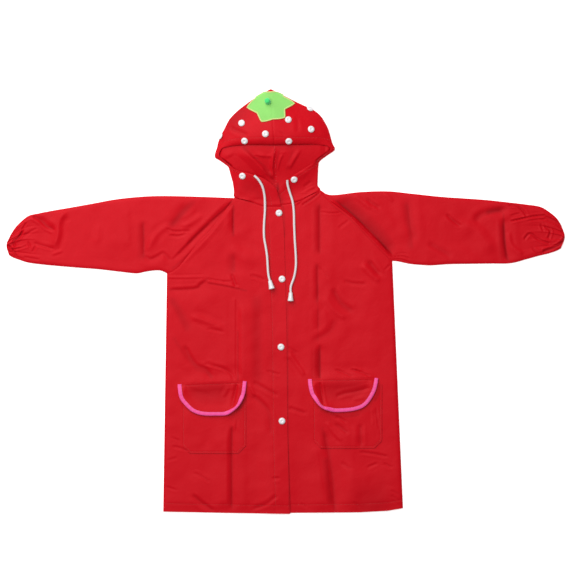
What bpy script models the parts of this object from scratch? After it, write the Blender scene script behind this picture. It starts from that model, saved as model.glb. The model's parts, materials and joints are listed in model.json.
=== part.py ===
"""Child's hooded rain coat, laid out flat on its back with the fronts snapped shut.

The coat lies face up: +Y runs from the hem to the hood, +X to the wearer's left, +Z up.
"Right" and "left" are the wearer's, so the right front is at -X and laps over the left.
The back panel and the back layers of the sleeves and hood rest on the floor at Z = 0.

Sizes are in millimetres. MM turns them into metres when a mesh is made.
"""

import math
from collections import namedtuple

import bmesh
import bpy
from mathutils import Vector
from mathutils.bvhtree import BVHTree

MM = 0.001
SKY = 200.0  # a height above everything, to look down from
DOWN = Vector((0, 0, -1))

# ---------------------------------------------------------------------------
# Driving sizes
# ---------------------------------------------------------------------------

CLOTH = 1.0  # wall of every cloth piece
GAP = 0.3  # space between two pieces that touch

# The upper cloth over the back panel and over the sleeves' back layers
FLAT_TOP = 4.6  # its outer face, away from edges and folds
EDGE_TOP = 2 * CLOTH + GAP  # its outer face at the folded or sewn silhouette
EDGE_ROUND = 9.0  # width over which it rounds down to that edge
HEM_ROUND = 25.0  # width over which a front sinks to its hem
HEM_DROP = 1.3

# Body
HEM_SHORT = 2.0  # how much shorter the back panel is than the fronts
UNDERLAP = 30.0  # width of the left front that lies under the right one
OVERLAP_MARGIN = 4.0  # the right front stays raised this far past the underlap
OVERLAP_FADE = 25.0  # width over which the right front settles beside the underlap
PACKING_CREASE_HALF = 10.0  # from the crease to the grid line on each side of it
CREASE_SHARES = (0.25, 0.78)  # how near to a row's ends its crease may stand
HEM_BEND_REACH = 120.0  # height over which a front's rows straighten out above its hem
NECK_BEND_POWER = 3  # more keeps the rows straighter until they near the neck seam

# Sleeves
EDGE_TURN = 1.2  # distance of a ring's first flat point from the silhouette
UPPER_CELLS = 18
LOWER_CELLS = 12
UPPER_GATHERS = 5
LOWER_GATHERS = 3
UPPER_GATHER_RISE = 2.7
LOWER_GATHER_RISE = 1.2
BOW_POWER = 1.4  # more keeps a bowed section straighter where it meets the silhouette
GATHER_SPARE = 0.5  # extra space kept between the wrist's layers
GATHER_SINK = 1.0  # how far the wrist's upper cloth sinks between its gathers

# Every fold dies out over this many half widths at each end of its line
FOLD_END = 1.5

# Hood
FACE_CELLS = 6  # from the face edge to the side fold
TURN_CELLS = 4  # round the side fold
BACK_CELLS = 6  # from the side fold to the centre seam
SEAM_HALF = 0.2  # half the space along the centre seam
FACE_SPREAD = 1.4  # more than 1 puts the rib's points closer to the face edge
CROWN_SKEW = 0.55  # less than 1 brings the crown's fullness to the face edge

# Snap caps and the matching caps on the hood
CAP_RADIUS = 6.2
CAP_RIM = 1.0
CAP_HEIGHT = 2.8
CAP_DIMPLE_RADIUS = 2.4
CAP_DIMPLE = 0.7

# A turned piece is seated by feeling for the cloth at this many places under its base
SEAT_FEELERS = 16
SEAT_ABOVE = 12.0

# Pockets, flaps and their binding
FLAP_DEPTH = 62.0
FLAP_ROOT_TURN = 1.1  # extra thickness where the flap's root is turned under
FLAP_STEP = 0.01  # share of a flap's edge over which its direction is taken
BINDING_WIDTH = 6.8
BINDING_WALL = 1.0
BINDING_SPARE = 0.1  # added to GAP above and below the cloth inside the binding
POCKET_CORNER = 14.0
POCKET_PUFF = 0.5
POCKET_COLUMNS = (0, 0.12, 0.3, 0.5, 0.7, 0.88, 1)
POCKET_ROWS = (0, 0.12, 0.35, 0.6, 0.8, 0.9, 1)
POCKET_REST = 0.5  # space from the front's facets to a pocket's or flap's sewn edge

# Drawstrings and cord stops
CORD_DIAMETER = 4.2
CORD_SPACING = 10.0
STOP_LENGTH = 16.0
STOP_NECK_RADIUS = 3.6
STOP_MOUTH_RADIUS = 5.6
STOP_BORE_RADIUS = 3.9
STOP_BORE_DEPTH = 2.0

# Leaf applique and stem on the crown
LEAF_CENTRE = (-27.8, 364.5)
LEAF_INNER = 30.0  # from the centre to its edge between two tips
LEAF_HOLLOW = 1.5  # more makes the sides between tips hollower
LEAF_CELLS = 6  # between two tips
CROWN_REACH = 27.9  # from the leaf's centre to where the crown turns over
LEAF_LOWEST = 7.0  # the leaf ends on the side fold at this height
STEM_PLACE = (-32.7, 369.5)
STEM_RADIUS = 5.6
STEM_HEIGHT = 12.0

# ---------------------------------------------------------------------------
# Short tables: a row for each section, seam point or fold
# ---------------------------------------------------------------------------

# Raglan seams, from the neck to the underarm, on the front and on the back alike
RAGLAN = {
    "right": ((-94.4, 190.6), (-137.0, 133.2), (-158.0, 112.0), (-198.0, 61.5), (-218.5, 51.2)),
    "left": ((66.0, 205.0), (78.5, 188.5), (115.3, 161.4), (158.2, 115.6), (198.5, 74.0)),
}

# Where the hood is sewn to the fronts, from the front edge to the raglan seam
NECK_SEAM = {
    "right": ((-7.4, 174.0), (-25.0, 174.3), (-42.6, 175.8), (-66.0, 184.0), (-94.4, 190.6)),
    "left": ((-37.4, 174.0), (-5.0, 177.5), (22.2, 183.2), (45.0, 194.0), (66.0, 205.0)),
}

# Front edge of the right front, from the neck to the hem
OVERLAP_EDGE = ((-7.4, 174.0), (-1.9, 131.0), (3.0, -54.0), (4.6, -239.0), (9.2, -394.0))

# Side seams, from the underarm to the hem, and hems from the side to the overlap
SIDE_SEAM = {
    "right": ((-218.5, 51.2), (-225.4, -389.8)),
    "left": ((198.5, 74.0), (218.3, -383.4)),
}
HEM = {
    "right": ((-225.4, -389.8), (-110.0, -392.2), (9.2, -394.0)),
    "left": ((218.3, -383.4), (190.0, -388.2), (138.8, -391.0), (9.2, -392.2)),
}

# The packing crease down each front, as x against y
CREASE_LINE = {
    "right": ((-85.0, 200.0), (-85.0, -180.0), (-92.5, -240.0), (-92.5, -400.0)),
    "left": ((64.8, 200.0), (64.8, -275.0), (90.0, -400.0)),
}

# Rows of a front, as heights above its hem; more rows stand at the creases
HEM_ROWS = (0, 17, 60, 105, 150, 195, 240, 285, 330, 370, 402, 412, 422, 432)
RAGLAN_ROWS = 6
SEAM_SPARE = 0.1  # added to GAP along the raglan and neck seams
FRONT_CELLS = 5  # on each side of the packing crease

# Sleeves: the line across the sleeve at each section, how far its middle bows to
# the wrist, and how much of the wrist's gathers it has
Section = namedtuple("Section", "name top_x top_y low_x low_y bow gather")
SLEEVES = {
    "right": (
        Section("raglan seam", -94.4, 190.6, -218.5, 51.2, 0, 0),
        Section("shoulder", -150.0, 192.8, -231.0, 56.4, 4, 0),
        Section("under the arm", -200.0, 194.2, -246.0, 56.0, 5, 0),
        Section("upper arm", -243.0, 194.3, -261.0, 53.6, 3, 0),
        Section("upper arm low", -282.0, 191.8, -276.0, 51.1, 0, 0),
        Section("above the elbow", -318.0, 187.5, -306.0, 54.2, 0, 0),
        Section("elbow", -356.0, 180.4, -346.0, 58.8, 0, 0),
        Section("below the elbow", -395.0, 173.4, -388.0, 62.0, 0, 0),
        Section("forearm", -430.0, 167.4, -425.0, 65.2, 0, 0.0),
        Section("fullest", -456.0, 162.3, -454.0, 68.0, 1, 0.15),
        Section("gathers begin", -474.0, 158.0, -477.0, 71.4, 2, 0.55),
        Section("wrist shoulder", -487.5, 148.0, -492.0, 76.2, 4, 0.85),
        Section("elastic", -500.0, 135.0, -503.5, 80.5, 5, 1.0),
        Section("frill edge", -508.5, 121.5, -511.0, 85.0, 5.5, 1.0),
    ),
    "left": (
        Section("raglan seam", 66.0, 205.0, 198.5, 74.0, 0, 0),
        Section("shoulder", 86.0, 196.3, 209.5, 73.1, 6, 0),
        Section("under the arm", 140.0, 201.8, 231.0, 68.6, 5, 0),
        Section("upper arm", 190.0, 203.1, 250.0, 66.8, 3, 0),
        Section("upper arm low", 232.0, 199.0, 271.0, 65.9, 1, 0),
        Section("above the elbow", 286.0, 193.2, 302.0, 68.0, 0, 0),
        Section("elbow", 332.0, 190.0, 342.0, 68.7, 0, 0),
        Section("below the elbow", 372.0, 187.1, 380.0, 69.2, 0, 0),
        Section("forearm", 410.0, 183.0, 417.0, 69.8, 0, 0.0),
        Section("fullest", 446.0, 178.8, 446.0, 77.0, 1, 0.15),
        Section("gathers begin", 472.0, 174.6, 469.0, 83.4, 2, 0.55),
        Section("wrist shoulder", 489.0, 165.0, 487.0, 87.6, 4, 0.85),
        Section("elastic", 503.0, 153.0, 501.5, 92.4, 6, 1.0),
        Section("frill edge", 511.5, 140.0, 510.5, 97.0, 6.5, 1.0),
    ),
}
SLEEVE_STATIONS = (0, 0.5, 1, 2, 3, 4, 5, 6, 7, 7.5, 8, 9, 9.5, 10, 10.5, 11, 12, 13)

# Hood: one row for each rib. A rib starts at the face edge (face_x, face_y, face_z),
# runs to the side fold (side_x, side_y), turns under it with radius turn, and goes
# back along the floor to the centre seam at seam_y. puff is its crown over the rest.
Rib = namedtuple("Rib", "name face_x face_y face_z side_x side_y turn puff seam_y")
HOOD = {
    "right": (
        Rib("neck seam", -7.4, 174.3, 5.9, -94.0, 191.6, 1.3, 0.0, 188),
        Rib("throat 1", -11.0, 192.0, 9.0, -94.4, 203.0, 2.0, 0.4, 198),
        Rib("throat 2", -19.0, 210.5, 12.5, -96.3, 215.0, 2.4, 0.8, 208),
        Rib("throat 3", -38.0, 225.5, 14.5, -98.6, 225.5, 2.8, 1.0, 219),
        Rib("cord exit", -62.0, 234.6, 14.5, -101.0, 235.0, 3.0, 0.8, 231),
        Rib("cheek", -90.0, 242.2, 12.0, -103.4, 242.5, 3.0, 0.2, 243),
        Rib("meets the side", -101.0, 250.5, 9.5, -106.8, 249.6, 2.8, 0, 254),
        Rib("side run", -117.4, 264.4, 8.2, -120.5, 259.5, 2.8, 0, 265),
        Rib("corner", -122.0, 269.8, 7.6, -130.0, 267.0, 3.0, 0, 277),
        Rib("brim end", -117.0, 281.0, 9.0, -126.0, 284.5, 3.5, 0.4, 290),
        Rib("brim 1", -103.0, 285.3, 12.0, -123.5, 295.0, 4.0, 1.5, 303),
        Rib("brim 2", -86.0, 287.2, 15.0, -114.0, 315.0, 5.0, 4.0, 319),
        Rib("brim 3", -66.0, 288.1, 19.0, -98.5, 341.5, 5.5, 7.0, 336),
        Rib("brim 4", -44.0, 288.2, 22.5, -64.0, 370.0, 6.0, 9.5, 353),
        Rib("crown seam", -20.0, 287.7, 24.0, -26.6, 392.4, 6.0, 10.5, 370),
    ),
    "left": (
        Rib("neck seam", -37.4, 174.3, 4.6, 65.8, 206.0, 1.3, 0.0, 188),
        Rib("throat 1", -27.0, 189.0, 5.2, 60.4, 213.0, 2.0, 0.2, 198),
        Rib("throat 2", -13.0, 204.0, 6.6, 60.3, 221.0, 2.4, 0.4, 208),
        Rib("throat 3", -1.0, 217.2, 9.5, 60.8, 230.0, 2.8, 0.6, 219),
        Rib("cord exit", 15.0, 232.0, 12.5, 61.4, 240.0, 3.0, 0.8, 231),
        Rib("cheek", 42.0, 248.6, 12.0, 62.0, 249.5, 3.0, 0.2, 243),
        Rib("meets the side", 58.6, 260.3, 9.5, 64.6, 258.6, 2.8, 0, 254),
        Rib("side run", 75.5, 274.0, 8.2, 78.6, 269.2, 2.8, 0, 265),
        Rib("corner", 84.0, 281.0, 7.6, 92.3, 280.0, 3.0, 0, 277),
        Rib("brim end", 78.0, 286.5, 9.0, 88.3, 291.0, 3.5, 0.4, 290),
        Rib("brim 1", 65.0, 288.4, 12.0, 84.2, 304.0, 4.0, 1.5, 303),
        Rib("brim 2", 48.0, 289.0, 15.0, 77.0, 325.0, 5.0, 4.0, 319),
        Rib("brim 3", 27.0, 288.7, 19.0, 59.5, 348.5, 5.5, 7.0, 336),
        Rib("brim 4", 4.0, 288.0, 22.5, 20.0, 368.8, 6.0, 9.5, 353),
        Rib("crown seam", -20.0, 287.7, 24.0, -26.6, 392.4, 6.0, 10.5, 370),
    ),
}
HOOD_STATIONS = (0, 1, 2, 3, 4, 5, 6, 7, 8, 9, 10, 10.5, 11, 11.5, 12, 12.5, 13, 13.5, 14)
FIRST_CROWN_STATION = 9

# Centre seam along the hood's back, as x against y
HOOD_SEAM_LINE = ((-16.0, 180.0), (-17.5, 250.0), (-20.0, 300.0), (-26.6, 392.4))

# Folds: the line of each, half its width and its height (a trough's is negative).
# A sharp fold comes to an edge, as a crease from packing does.
Fold = namedtuple("Fold", "name route half_width height sharp")
FOLDS = (
    Fold("right packing ridge", ((-85, 175), (-85, -185)), 10, 1.3, True),
    Fold("right packing trough", ((-92.5, -225), (-92.5, -392)), 11, -1.3, True),
    Fold("left packing trough", ((64.8, 190), (64.8, -275), (90, -392)), 13, -1.5, True),
    Fold("right waist crease, upper", ((-219, 42), (-150, 43)), 7, -0.9, True),
    Fold("right waist crease, lower", ((-219, 22), (-163, 24), (-141, 40)), 8, -1.1, True),
    Fold("right waist crease, inner", ((-141, 40), (-95, 29), (-40, 18)), 8, -0.9, True),
    Fold("left waist crease", ((75, 30), (190, 26)), 9, -0.6, False),
    Fold("right raglan ridge", ((-98, 181), (-158, 113), (-204, 60)), 7, 1.2, True),
    Fold("right raglan trough", ((-100, 188), (-140, 153), (-199, 87)), 9, -1.6, False),
    Fold("right sleeve ridge by the raglan", ((-137, 166), (-172, 130), (-213, 82)), 13, 1.5, False),
    Fold("right shoulder dent", ((-152, 182), (-198, 156), (-219, 138)), 13, -1.6, False),
    Fold("right shoulder dent, tail", ((-219, 138), (-173, 129)), 8, -1.2, False),
    Fold("right upper arm fold", ((-268, 150), (-263, 80)), 15, -1.2, False),
    Fold("right forearm fold", ((-405, 160), (-417, 140), (-427, 99)), 10, -1.8, False),
    Fold("right wrist fold", ((-461, 156), (-437, 136)), 10, -1.4, False),
    Fold("left raglan ridge", ((72, 194), (115, 161), (158, 115), (188, 84)), 7, 1.2, True),
    Fold("left raglan trough", ((89, 189), (123, 156), (190, 92)), 12, -1.8, False),
    Fold("left upper arm fold", ((216, 178), (223, 78)), 12, -0.9, False),
    Fold("left forearm fold", ((404, 179), (405, 140), (412, 74)), 11, -1.9, False),
    Fold("left underarm fold", ((154, 82), (176, 42)), 11, -1.0, False),
)
HOOD_BACK_FOLDS = (
    Fold("inner fold, right", ((-84, 284), (-56, 262), (-30, 230)), 13, 3.2, False),
    Fold("inner fold, left", ((30, 272), (0, 235)), 11, 2.2, False),
)

# Curved edge of each pocket flap, from its root's right end round to its left end
FLAP_EDGE = {
    "right": (
        (-198.6, -152.5),
        (-197.8, -165.0),
        (-194.5, -180.0),
        (-185.0, -193.0),
        (-171.5, -205.0),
        (-153.0, -211.3),
        (-128.0, -212.2),
        (-107.0, -210.8),
        (-94.0, -201.5),
        (-80.5, -187.0),
        (-73.6, -171.0),
        (-70.6, -147.0),
    ),
    "left": (
        (42.3, -143.0),
        (43.4, -157.0),
        (47.8, -173.5),
        (58.0, -187.5),
        (72.0, -199.0),
        (87.0, -204.8),
        (106.0, -205.2),
        (128.0, -202.8),
        (146.0, -196.0),
        (158.5, -183.0),
        (168.5, -163.5),
        (173.0, -141.5),
    ),
}
# The patch pocket under each flap
PocketPlace = namedtuple("PocketPlace", "right_x left_x top_y bottom_y")
POCKETS = {
    "right": PocketPlace(-190.0, -72.5, -162.5, -281.5),
    "left": PocketPlace(52.0, 179.0, -153.0, -272.0),
}
# Height of a flap's under side over the front, against depth from its root
FLAP_LIFT = ((0.0, 1.9), (0.25, 3.9), (0.7, 4.3), (1.0, 4.9))
# Shares of the way round a flap's edge where its columns stand, to its middle
FLAP_SHARES = (0.012, 0.045, 0.09, 0.14, 0.19, 0.24, 0.295, 0.36, 0.43, 0.5)
# Rows of a flap, as shares from its root to just inside the binding; None is its edge
FLAP_ROWS = (0, 0.25, 0.6, 1, None)
FLAP_FOLDS = (
    Fold("kink over the right packing ridge", ((-85, -120), (-91, -240)), 16, 1.3, False),
    Fold("kink over the left packing crease", ((60, -115), (73, -240)), 13, 1.2, False),
)

# Tips of the leaf: each one's direction from the centre, and how far it reaches
LeafTip = namedtuple("LeafTip", "degrees reach")
LEAF_TIPS = (
    LeafTip(1, 46.3),
    LeafTip(60, 45.0),
    LeafTip(124, 44.0),
    LeafTip(189, 43.5),
    LeafTip(245, 37.4),
    LeafTip(317, 38.4),
)

# Caps: where each one's middle is, on the front edge or as a point near the hood
SNAPS = ((-11.1, 162.8), (-5.6, 40.7), (-7.4, -85.1), (-5.6, -222.0))
HOOD_DOTS = (
    (-80.0, 328.4, 26.0),
    (-120.5, 305.3, 7.5),
    (-74.6, 297.0, 26.0),
    (-36.1, 309.7, 34.0),
    (6.0, 334.4, 32.0),
    (7.0, 296.4, 30.0),
    (46.5, 356.0, 10.0),
    (48.0, 317.0, 26.0),
    (-78.6, 231.0, 16.0),
    (16.8, 224.4, 14.0),
)

# Routes of the two free cords, from where each leaves the hood to its stop
CORD_ROUTES = {
    "right": (
        (-57.0, 231.5, 18.6),
        (-49.0, 224.0, 18.2),
        (-41.5, 211.0, 15.6),
        (-38.0, 196.0, 12.0),
        (-37.0, 181.0, 9.6),
        (-37.2, 164.0, 8.7),
        (-38.8, 140.0, 8.3),
        (-38.6, 118.0, 8.2),
        (-35.6, 100.0, 8.4),
        (-33.0, 82.0, 8.8),
        (-31.8, 62.0, 9.2),
        (-30.6, 48.0, 9.2),
        (-28.0, 37.5, 10.4),
    ),
    "left": (
        (4.2, 223.0, 16.2),
        (5.0, 214.0, 13.4),
        (9.0, 200.0, 9.8),
        (14.0, 184.0, 7.9),
        (16.3, 166.0, 7.2),
        (17.0, 140.0, 7.1),
        (18.2, 112.0, 7.1),
        (19.8, 88.0, 7.1),
        (20.2, 66.0, 7.1),
        (17.2, 46.0, 7.1),
        (10.9, 27.0, 7.9),
        (10.6, 15.5, 9.1),
    ),
}
RED = (0.62, 0.011, 0.02)
PINK = (0.86, 0.08, 0.33)
WHITE = (0.86, 0.85, 0.87)
LEAF_GREEN = (0.29, 0.72, 0.16)
STEM_GREEN = (0.01, 0.58, 0.19)

PARTS = "rain_coat"
CUTTERS = "rain_coat_cutters"


# ---------------------------------------------------------------------------
# Curves, folds and heights
# ---------------------------------------------------------------------------


def smooth_between(rows, at):
    """Point at a fractional row on a smooth curve that passes through every row."""
    last = len(rows) - 1
    index = min(int(at), last - 1)
    t = at - index
    before = rows[max(index - 1, 0)]
    start, end = rows[index], rows[index + 1]
    after = rows[min(index + 2, last)]
    return tuple(
        b + 0.5 * t * (c - a + t * (2 * a - 5 * b + 4 * c - d + t * (3 * (b - c) + d - a)))
        for a, b, c, d in zip(before, start, end, after)
    )


def along(route, share):
    """Point at a share of the length of a smooth curve through a route."""
    reach = [0.0]
    for a, b in zip(route, route[1:]):
        reach.append(reach[-1] + math.dist(a, b))
    wanted = share * reach[-1]
    index = 0
    while index < len(route) - 2 and reach[index + 1] < wanted:
        index += 1
    t = (wanted - reach[index]) / (reach[index + 1] - reach[index])
    return smooth_between(route, index + min(max(t, 0.0), 1.0))


def value_at(line, given, key, wanted):
    """Straight-run lookup in a line of points: coordinate wanted where key is given."""
    rows = sorted(line, key=lambda point: point[key])
    given = min(max(given, rows[0][key]), rows[-1][key])
    for start, end in zip(rows, rows[1:]):
        if given <= end[key]:
            t = (given - start[key]) / (end[key] - start[key])
            return start[wanted] + (end[wanted] - start[wanted]) * t


def x_at(line, y):
    """The x of a line at one y."""
    return value_at(line, y, 1, 0)


def y_at(line, x):
    """The y of a line at one x."""
    return value_at(line, x, 0, 1)


def nearest_on(route, x, y):
    """Distance from a point to a route of straight runs, the way along it, its length."""
    best, best_along, gone = math.inf, 0.0, 0.0
    for (ax, ay), (bx, by) in zip(route, route[1:]):
        dx, dy = bx - ax, by - ay
        run = math.hypot(dx, dy)
        t = min(max(((x - ax) * dx + (y - ay) * dy) / run**2, 0.0), 1.0)
        distance = math.hypot(x - ax - t * dx, y - ay - t * dy)
        if distance < best:
            best, best_along = distance, gone + t * run
        gone += run
    return best, best_along, gone


def ease(t):
    """Smooth step from 0 to 1."""
    t = min(max(t, 0.0), 1.0)
    return t * t * (3 - 2 * t)


def relief(x, y, folds):
    """Height that the folds add at one point; each fold fades out at its ends."""
    total = 0.0
    for fold in folds:
        distance, gone, length = nearest_on(fold.route, x, y)
        if distance < fold.half_width:
            side = 1 - distance / fold.half_width
            fade = ease(min(gone, length - gone) / (FOLD_END * fold.half_width))
            total += fold.height * fade * (side if fold.sharp else ease(side))
    return total


def raglan_point(side, share):
    """Point on a raglan seam, taken as straight runs between the fronts' rows."""
    index = min(int(share * RAGLAN_ROWS), RAGLAN_ROWS - 1)
    start = along(RAGLAN[side], index / RAGLAN_ROWS)
    end = along(RAGLAN[side], (index + 1) / RAGLAN_ROWS)
    t = share * RAGLAN_ROWS - index
    return tuple(a + (b - a) * t for a, b in zip(start, end))


def sleeve_point(side, at, across):
    """Plan point of a sleeve at a fractional section, across it from top to low edge."""
    out = -1 if side == "right" else 1
    points = []
    for index, s in enumerate(SLEEVES[side]):
        run_x, run_y = s.low_x - s.top_x, s.low_y - s.top_y
        run = math.hypot(run_x, run_y)
        if index == 0:
            x, y = raglan_point(side, across)
            shift = GAP + SEAM_SPARE
        else:
            x, y = s.top_x + run_x * across, s.top_y + run_y * across
            shift = s.bow * math.sin(math.pi * across) ** BOW_POWER
        points.append((x - out * run_y / run * shift, y + out * run_x / run * shift))
    return smooth_between(points, at)


def silhouette_lines():
    """The coat's folded and sewn side edges, as routes of straight runs."""
    lines = [SIDE_SEAM["right"], SIDE_SEAM["left"]]
    for side, sections in SLEEVES.items():
        for across in (0, 1):
            steps = range(2 * len(sections) - 1)
            lines.append([sleeve_point(side, step / 2, across) for step in steps])
    return lines


SILHOUETTE = silhouette_lines()


def hem_y(x):
    """The fronts' hem line, as y against x."""
    middle = OVERLAP_EDGE[-1][0]
    return y_at(HEM["right" if x < middle else "left"], x)


def cloth_top(x, y):
    """Height of the upper cloth's outer face over the body and the sleeves."""
    edge = min(nearest_on(line, x, y)[0] for line in SILHOUETTE)
    rise = math.sqrt(1 - (1 - min(edge / EDGE_ROUND, 1)) ** 2)
    hem = HEM_DROP * (1 - ease((y - hem_y(x)) / HEM_ROUND))
    return EDGE_TOP + rise * (FLAT_TOP - hem - EDGE_TOP + relief(x, y, FOLDS))


def front_top(side, x, y):
    """Height of a front's outer face: the right one climbs over the left one."""
    lap = 0.0
    if side == "right":
        beyond = x_at(OVERLAP_EDGE, y) - UNDERLAP - OVERLAP_MARGIN - x
        lap = (CLOTH + GAP) * (1 - ease(beyond / OVERLAP_FADE))
    return cloth_top(x, y) + lap


# ---------------------------------------------------------------------------
# Objects
# ---------------------------------------------------------------------------


def clear_scene():
    """Remove every object, so that the file holds the coat alone."""
    for thing in list(bpy.data.objects):
        bpy.data.objects.remove(thing, do_unlink=True)


def collection(name):
    """The collection of that name, made when it is first asked for."""
    found = bpy.data.collections.get(name)
    if found is None:
        found = bpy.data.collections.new(name)
        bpy.context.scene.collection.children.link(found)
    return found


def add_object(name, data, colour, roughness):
    """Put a mesh or curve in the coat's collection, with a material of its own."""
    thing = bpy.data.objects.new(name, data)
    collection(PARTS).objects.link(thing)
    material = bpy.data.materials.new(name)
    material.use_nodes = True
    shader = material.node_tree.nodes["Principled BSDF"]
    shader.inputs["Base Color"].default_value = (*colour, 1)
    shader.inputs["Roughness"].default_value = roughness
    shader.inputs["Metallic"].default_value = 0
    data.materials.append(material)
    return thing


def finished_mesh(name, shape):
    """Mesh of a closed bmesh, its faces turned outward."""
    bmesh.ops.recalc_face_normals(shape, faces=shape.faces)
    mesh = bpy.data.meshes.new(name)
    shape.to_mesh(mesh)
    shape.free()
    return mesh


def add_quad(shape, a, b, c, d):
    """Two triangles that share the edge from a to c."""
    shape.faces.new((a, b, c))
    shape.faces.new((a, c, d))


def wall_mesh(name, outside, inside, round_columns=False):
    """Closed wall lofted between two equal grids of points, with its rims joined."""
    shape = bmesh.new()
    outer = [[shape.verts.new(Vector(point) * MM) for point in row] for row in outside]
    inner = [[shape.verts.new(Vector(point) * MM) for point in row] for row in inside]
    rows, columns = len(outer), len(outer[0])
    runs = columns if round_columns else columns - 1
    for i in range(rows - 1):
        for j in range(runs):
            k = (j + 1) % columns
            add_quad(shape, outer[i][j], outer[i][k], outer[i + 1][k], outer[i + 1][j])
            add_quad(shape, inner[i][j], inner[i + 1][j], inner[i + 1][k], inner[i][k])
    for i in (0, rows - 1):
        for j in range(runs):
            k = (j + 1) % columns
            add_quad(shape, outer[i][j], outer[i][k], inner[i][k], inner[i][j])
    if not round_columns:
        for j in (0, columns - 1):
            for i in range(rows - 1):
                add_quad(shape, outer[i][j], outer[i + 1][j], inner[i + 1][j], inner[i][j])
    return finished_mesh(name, shape)


def lowered(grid, depth):
    """A grid of points moved straight down."""
    return [[(x, y, z - depth) for x, y, z in row] for row in grid]


def surface_of(*things):
    """A search tree over objects' faces, in metres."""
    joined = bmesh.new()
    for thing in things:
        joined.from_mesh(thing.data)
    tree = BVHTree.FromBMesh(joined)
    joined.free()
    return tree


def height_on(tree, x, y):
    """Height in millimetres of the highest face at a plan point, or None beside it."""
    hit = tree.ray_cast(Vector((x, y, SKY)) * MM, DOWN)[0]
    return None if hit is None else hit.z / MM


# ---------------------------------------------------------------------------
# Body
# ---------------------------------------------------------------------------


def make_back():
    """Back panel: a flat outline of the body, extruded by the cloth's thickness."""
    outline = [(x, y + HEM_SHORT) for x, y in HEM["right"][::-1]]
    rows = range(RAGLAN_ROWS + 1)
    outline += [raglan_point("right", 1 - row / RAGLAN_ROWS) for row in rows]
    seam_y = HOOD["right"][0].seam_y
    outline.append((x_at(HOOD_SEAM_LINE, seam_y), seam_y - GAP))
    outline += [raglan_point("left", row / RAGLAN_ROWS) for row in rows]
    outline += [(x, y + HEM_SHORT) for x, y in HEM["left"][:-1]]

    curve = bpy.data.curves.new("back", "CURVE")
    curve.dimensions = "2D"
    curve.fill_mode = "BOTH"
    curve.extrude = CLOTH / 2 * MM
    curve.resolution_u = 1
    curve.render_resolution_u = 0
    spline = curve.splines.new("POLY")
    spline.points.add(len(outline) - 1)
    for point, (x, y) in zip(spline.points, outline):
        point.co = (x * MM, y * MM, 0, 1)
    spline.use_cyclic_u = True
    back = add_object("back", curve, RED, 0.5)
    back.location.z = CLOTH / 2 * MM


def row_shares(start_x, end_x, crease_x):
    """Shares of the way across a row: even cells each side of three lines at a crease."""
    width = abs(end_x - start_x)
    low, high = CREASE_SHARES
    crease = min(max((crease_x - start_x) / (end_x - start_x), low), high)
    half = min(PACKING_CREASE_HALF / width, (1 - high) / 2)
    shares = [(crease - half) * k / FRONT_CELLS for k in range(FRONT_CELLS + 1)]
    shares.append(crease)
    rest = 1 - crease - half
    shares += [crease + half + rest * k / FRONT_CELLS for k in range(FRONT_CELLS + 1)]
    return shares


def neck_shares(side):
    """Shares of the neck seam where the hood's columns stand: every second front column."""
    neck = NECK_SEAM[side]
    shares = row_shares(neck[0][0], neck[-1][0], x_at(CREASE_LINE[side], neck[0][1]))
    return shares[::2]


def neck_point(side, share):
    """Point on a neck seam, taken as straight runs between the hood's columns."""
    shares = neck_shares(side)
    for start, end in zip(shares, shares[1:]):
        if share <= end:
            t = (share - start) / (end - start)
            first, second = along(NECK_SEAM[side], start), along(NECK_SEAM[side], end)
            return tuple(a + (b - a) * t for a, b in zip(first, second))


def front_edge(side, y):
    """The x of a front's centre edge at one y."""
    x = x_at(OVERLAP_EDGE, y)
    return x if side == "right" else x - UNDERLAP


def front_grid(side):
    """Outer face of a front: rows from hem to neck, columns from centre edge to side."""
    under, corner = SIDE_SEAM[side]
    hem = HEM[side][-1][1]
    neck = NECK_SEAM[side]
    ends = []
    for level in HEM_ROWS:
        t = level / (under[1] - hem)
        y = hem + (under[1] - hem) * t
        outer = (corner[0] + (under[0] - corner[0]) * t, corner[1] + (under[1] - corner[1]) * t)
        ends.append(((front_edge(side, y), y), outer, 0.0))
    for step in range(RAGLAN_ROWS + 1):
        t = step / RAGLAN_ROWS
        y = under[1] + (neck[0][1] - under[1]) * t
        ends.append(((front_edge(side, y), y), raglan_point(side, 1 - t), t))

    grid = []
    for (start, end, up) in ends:
        crease_x = x_at(CREASE_LINE[side], (start[1] + end[1]) / 2)
        row = []
        for share in row_shares(start[0], end[0], crease_x):
            seam_x, seam_y = neck_point(side, share)
            chord_x = neck[0][0] + (neck[-1][0] - neck[0][0]) * share
            chord_y = neck[0][1] + (neck[-1][1] - neck[0][1]) * share
            bend = up**NECK_BEND_POWER
            x = start[0] + (end[0] - start[0]) * share + bend * (seam_x - chord_x)
            y = start[1] + (end[1] - start[1]) * share + bend * (seam_y - chord_y)
            hem_chord = hem + (corner[1] - hem) * share
            y += (hem_y(x) - hem_chord) * max(0, 1 - (start[1] - hem) / HEM_BEND_REACH)
            row.append((x, y, front_top(side, x, y)))
        grid.append(row)
    return grid


def make_front(side):
    """One front, its side seam and raglan seam just over the back panel's."""
    grid = front_grid(side)
    name = "front_" + side
    return add_object(name, wall_mesh(name, grid, lowered(grid, CLOTH)), RED, 0.5)


# ---------------------------------------------------------------------------
# Sleeves
# ---------------------------------------------------------------------------


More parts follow.
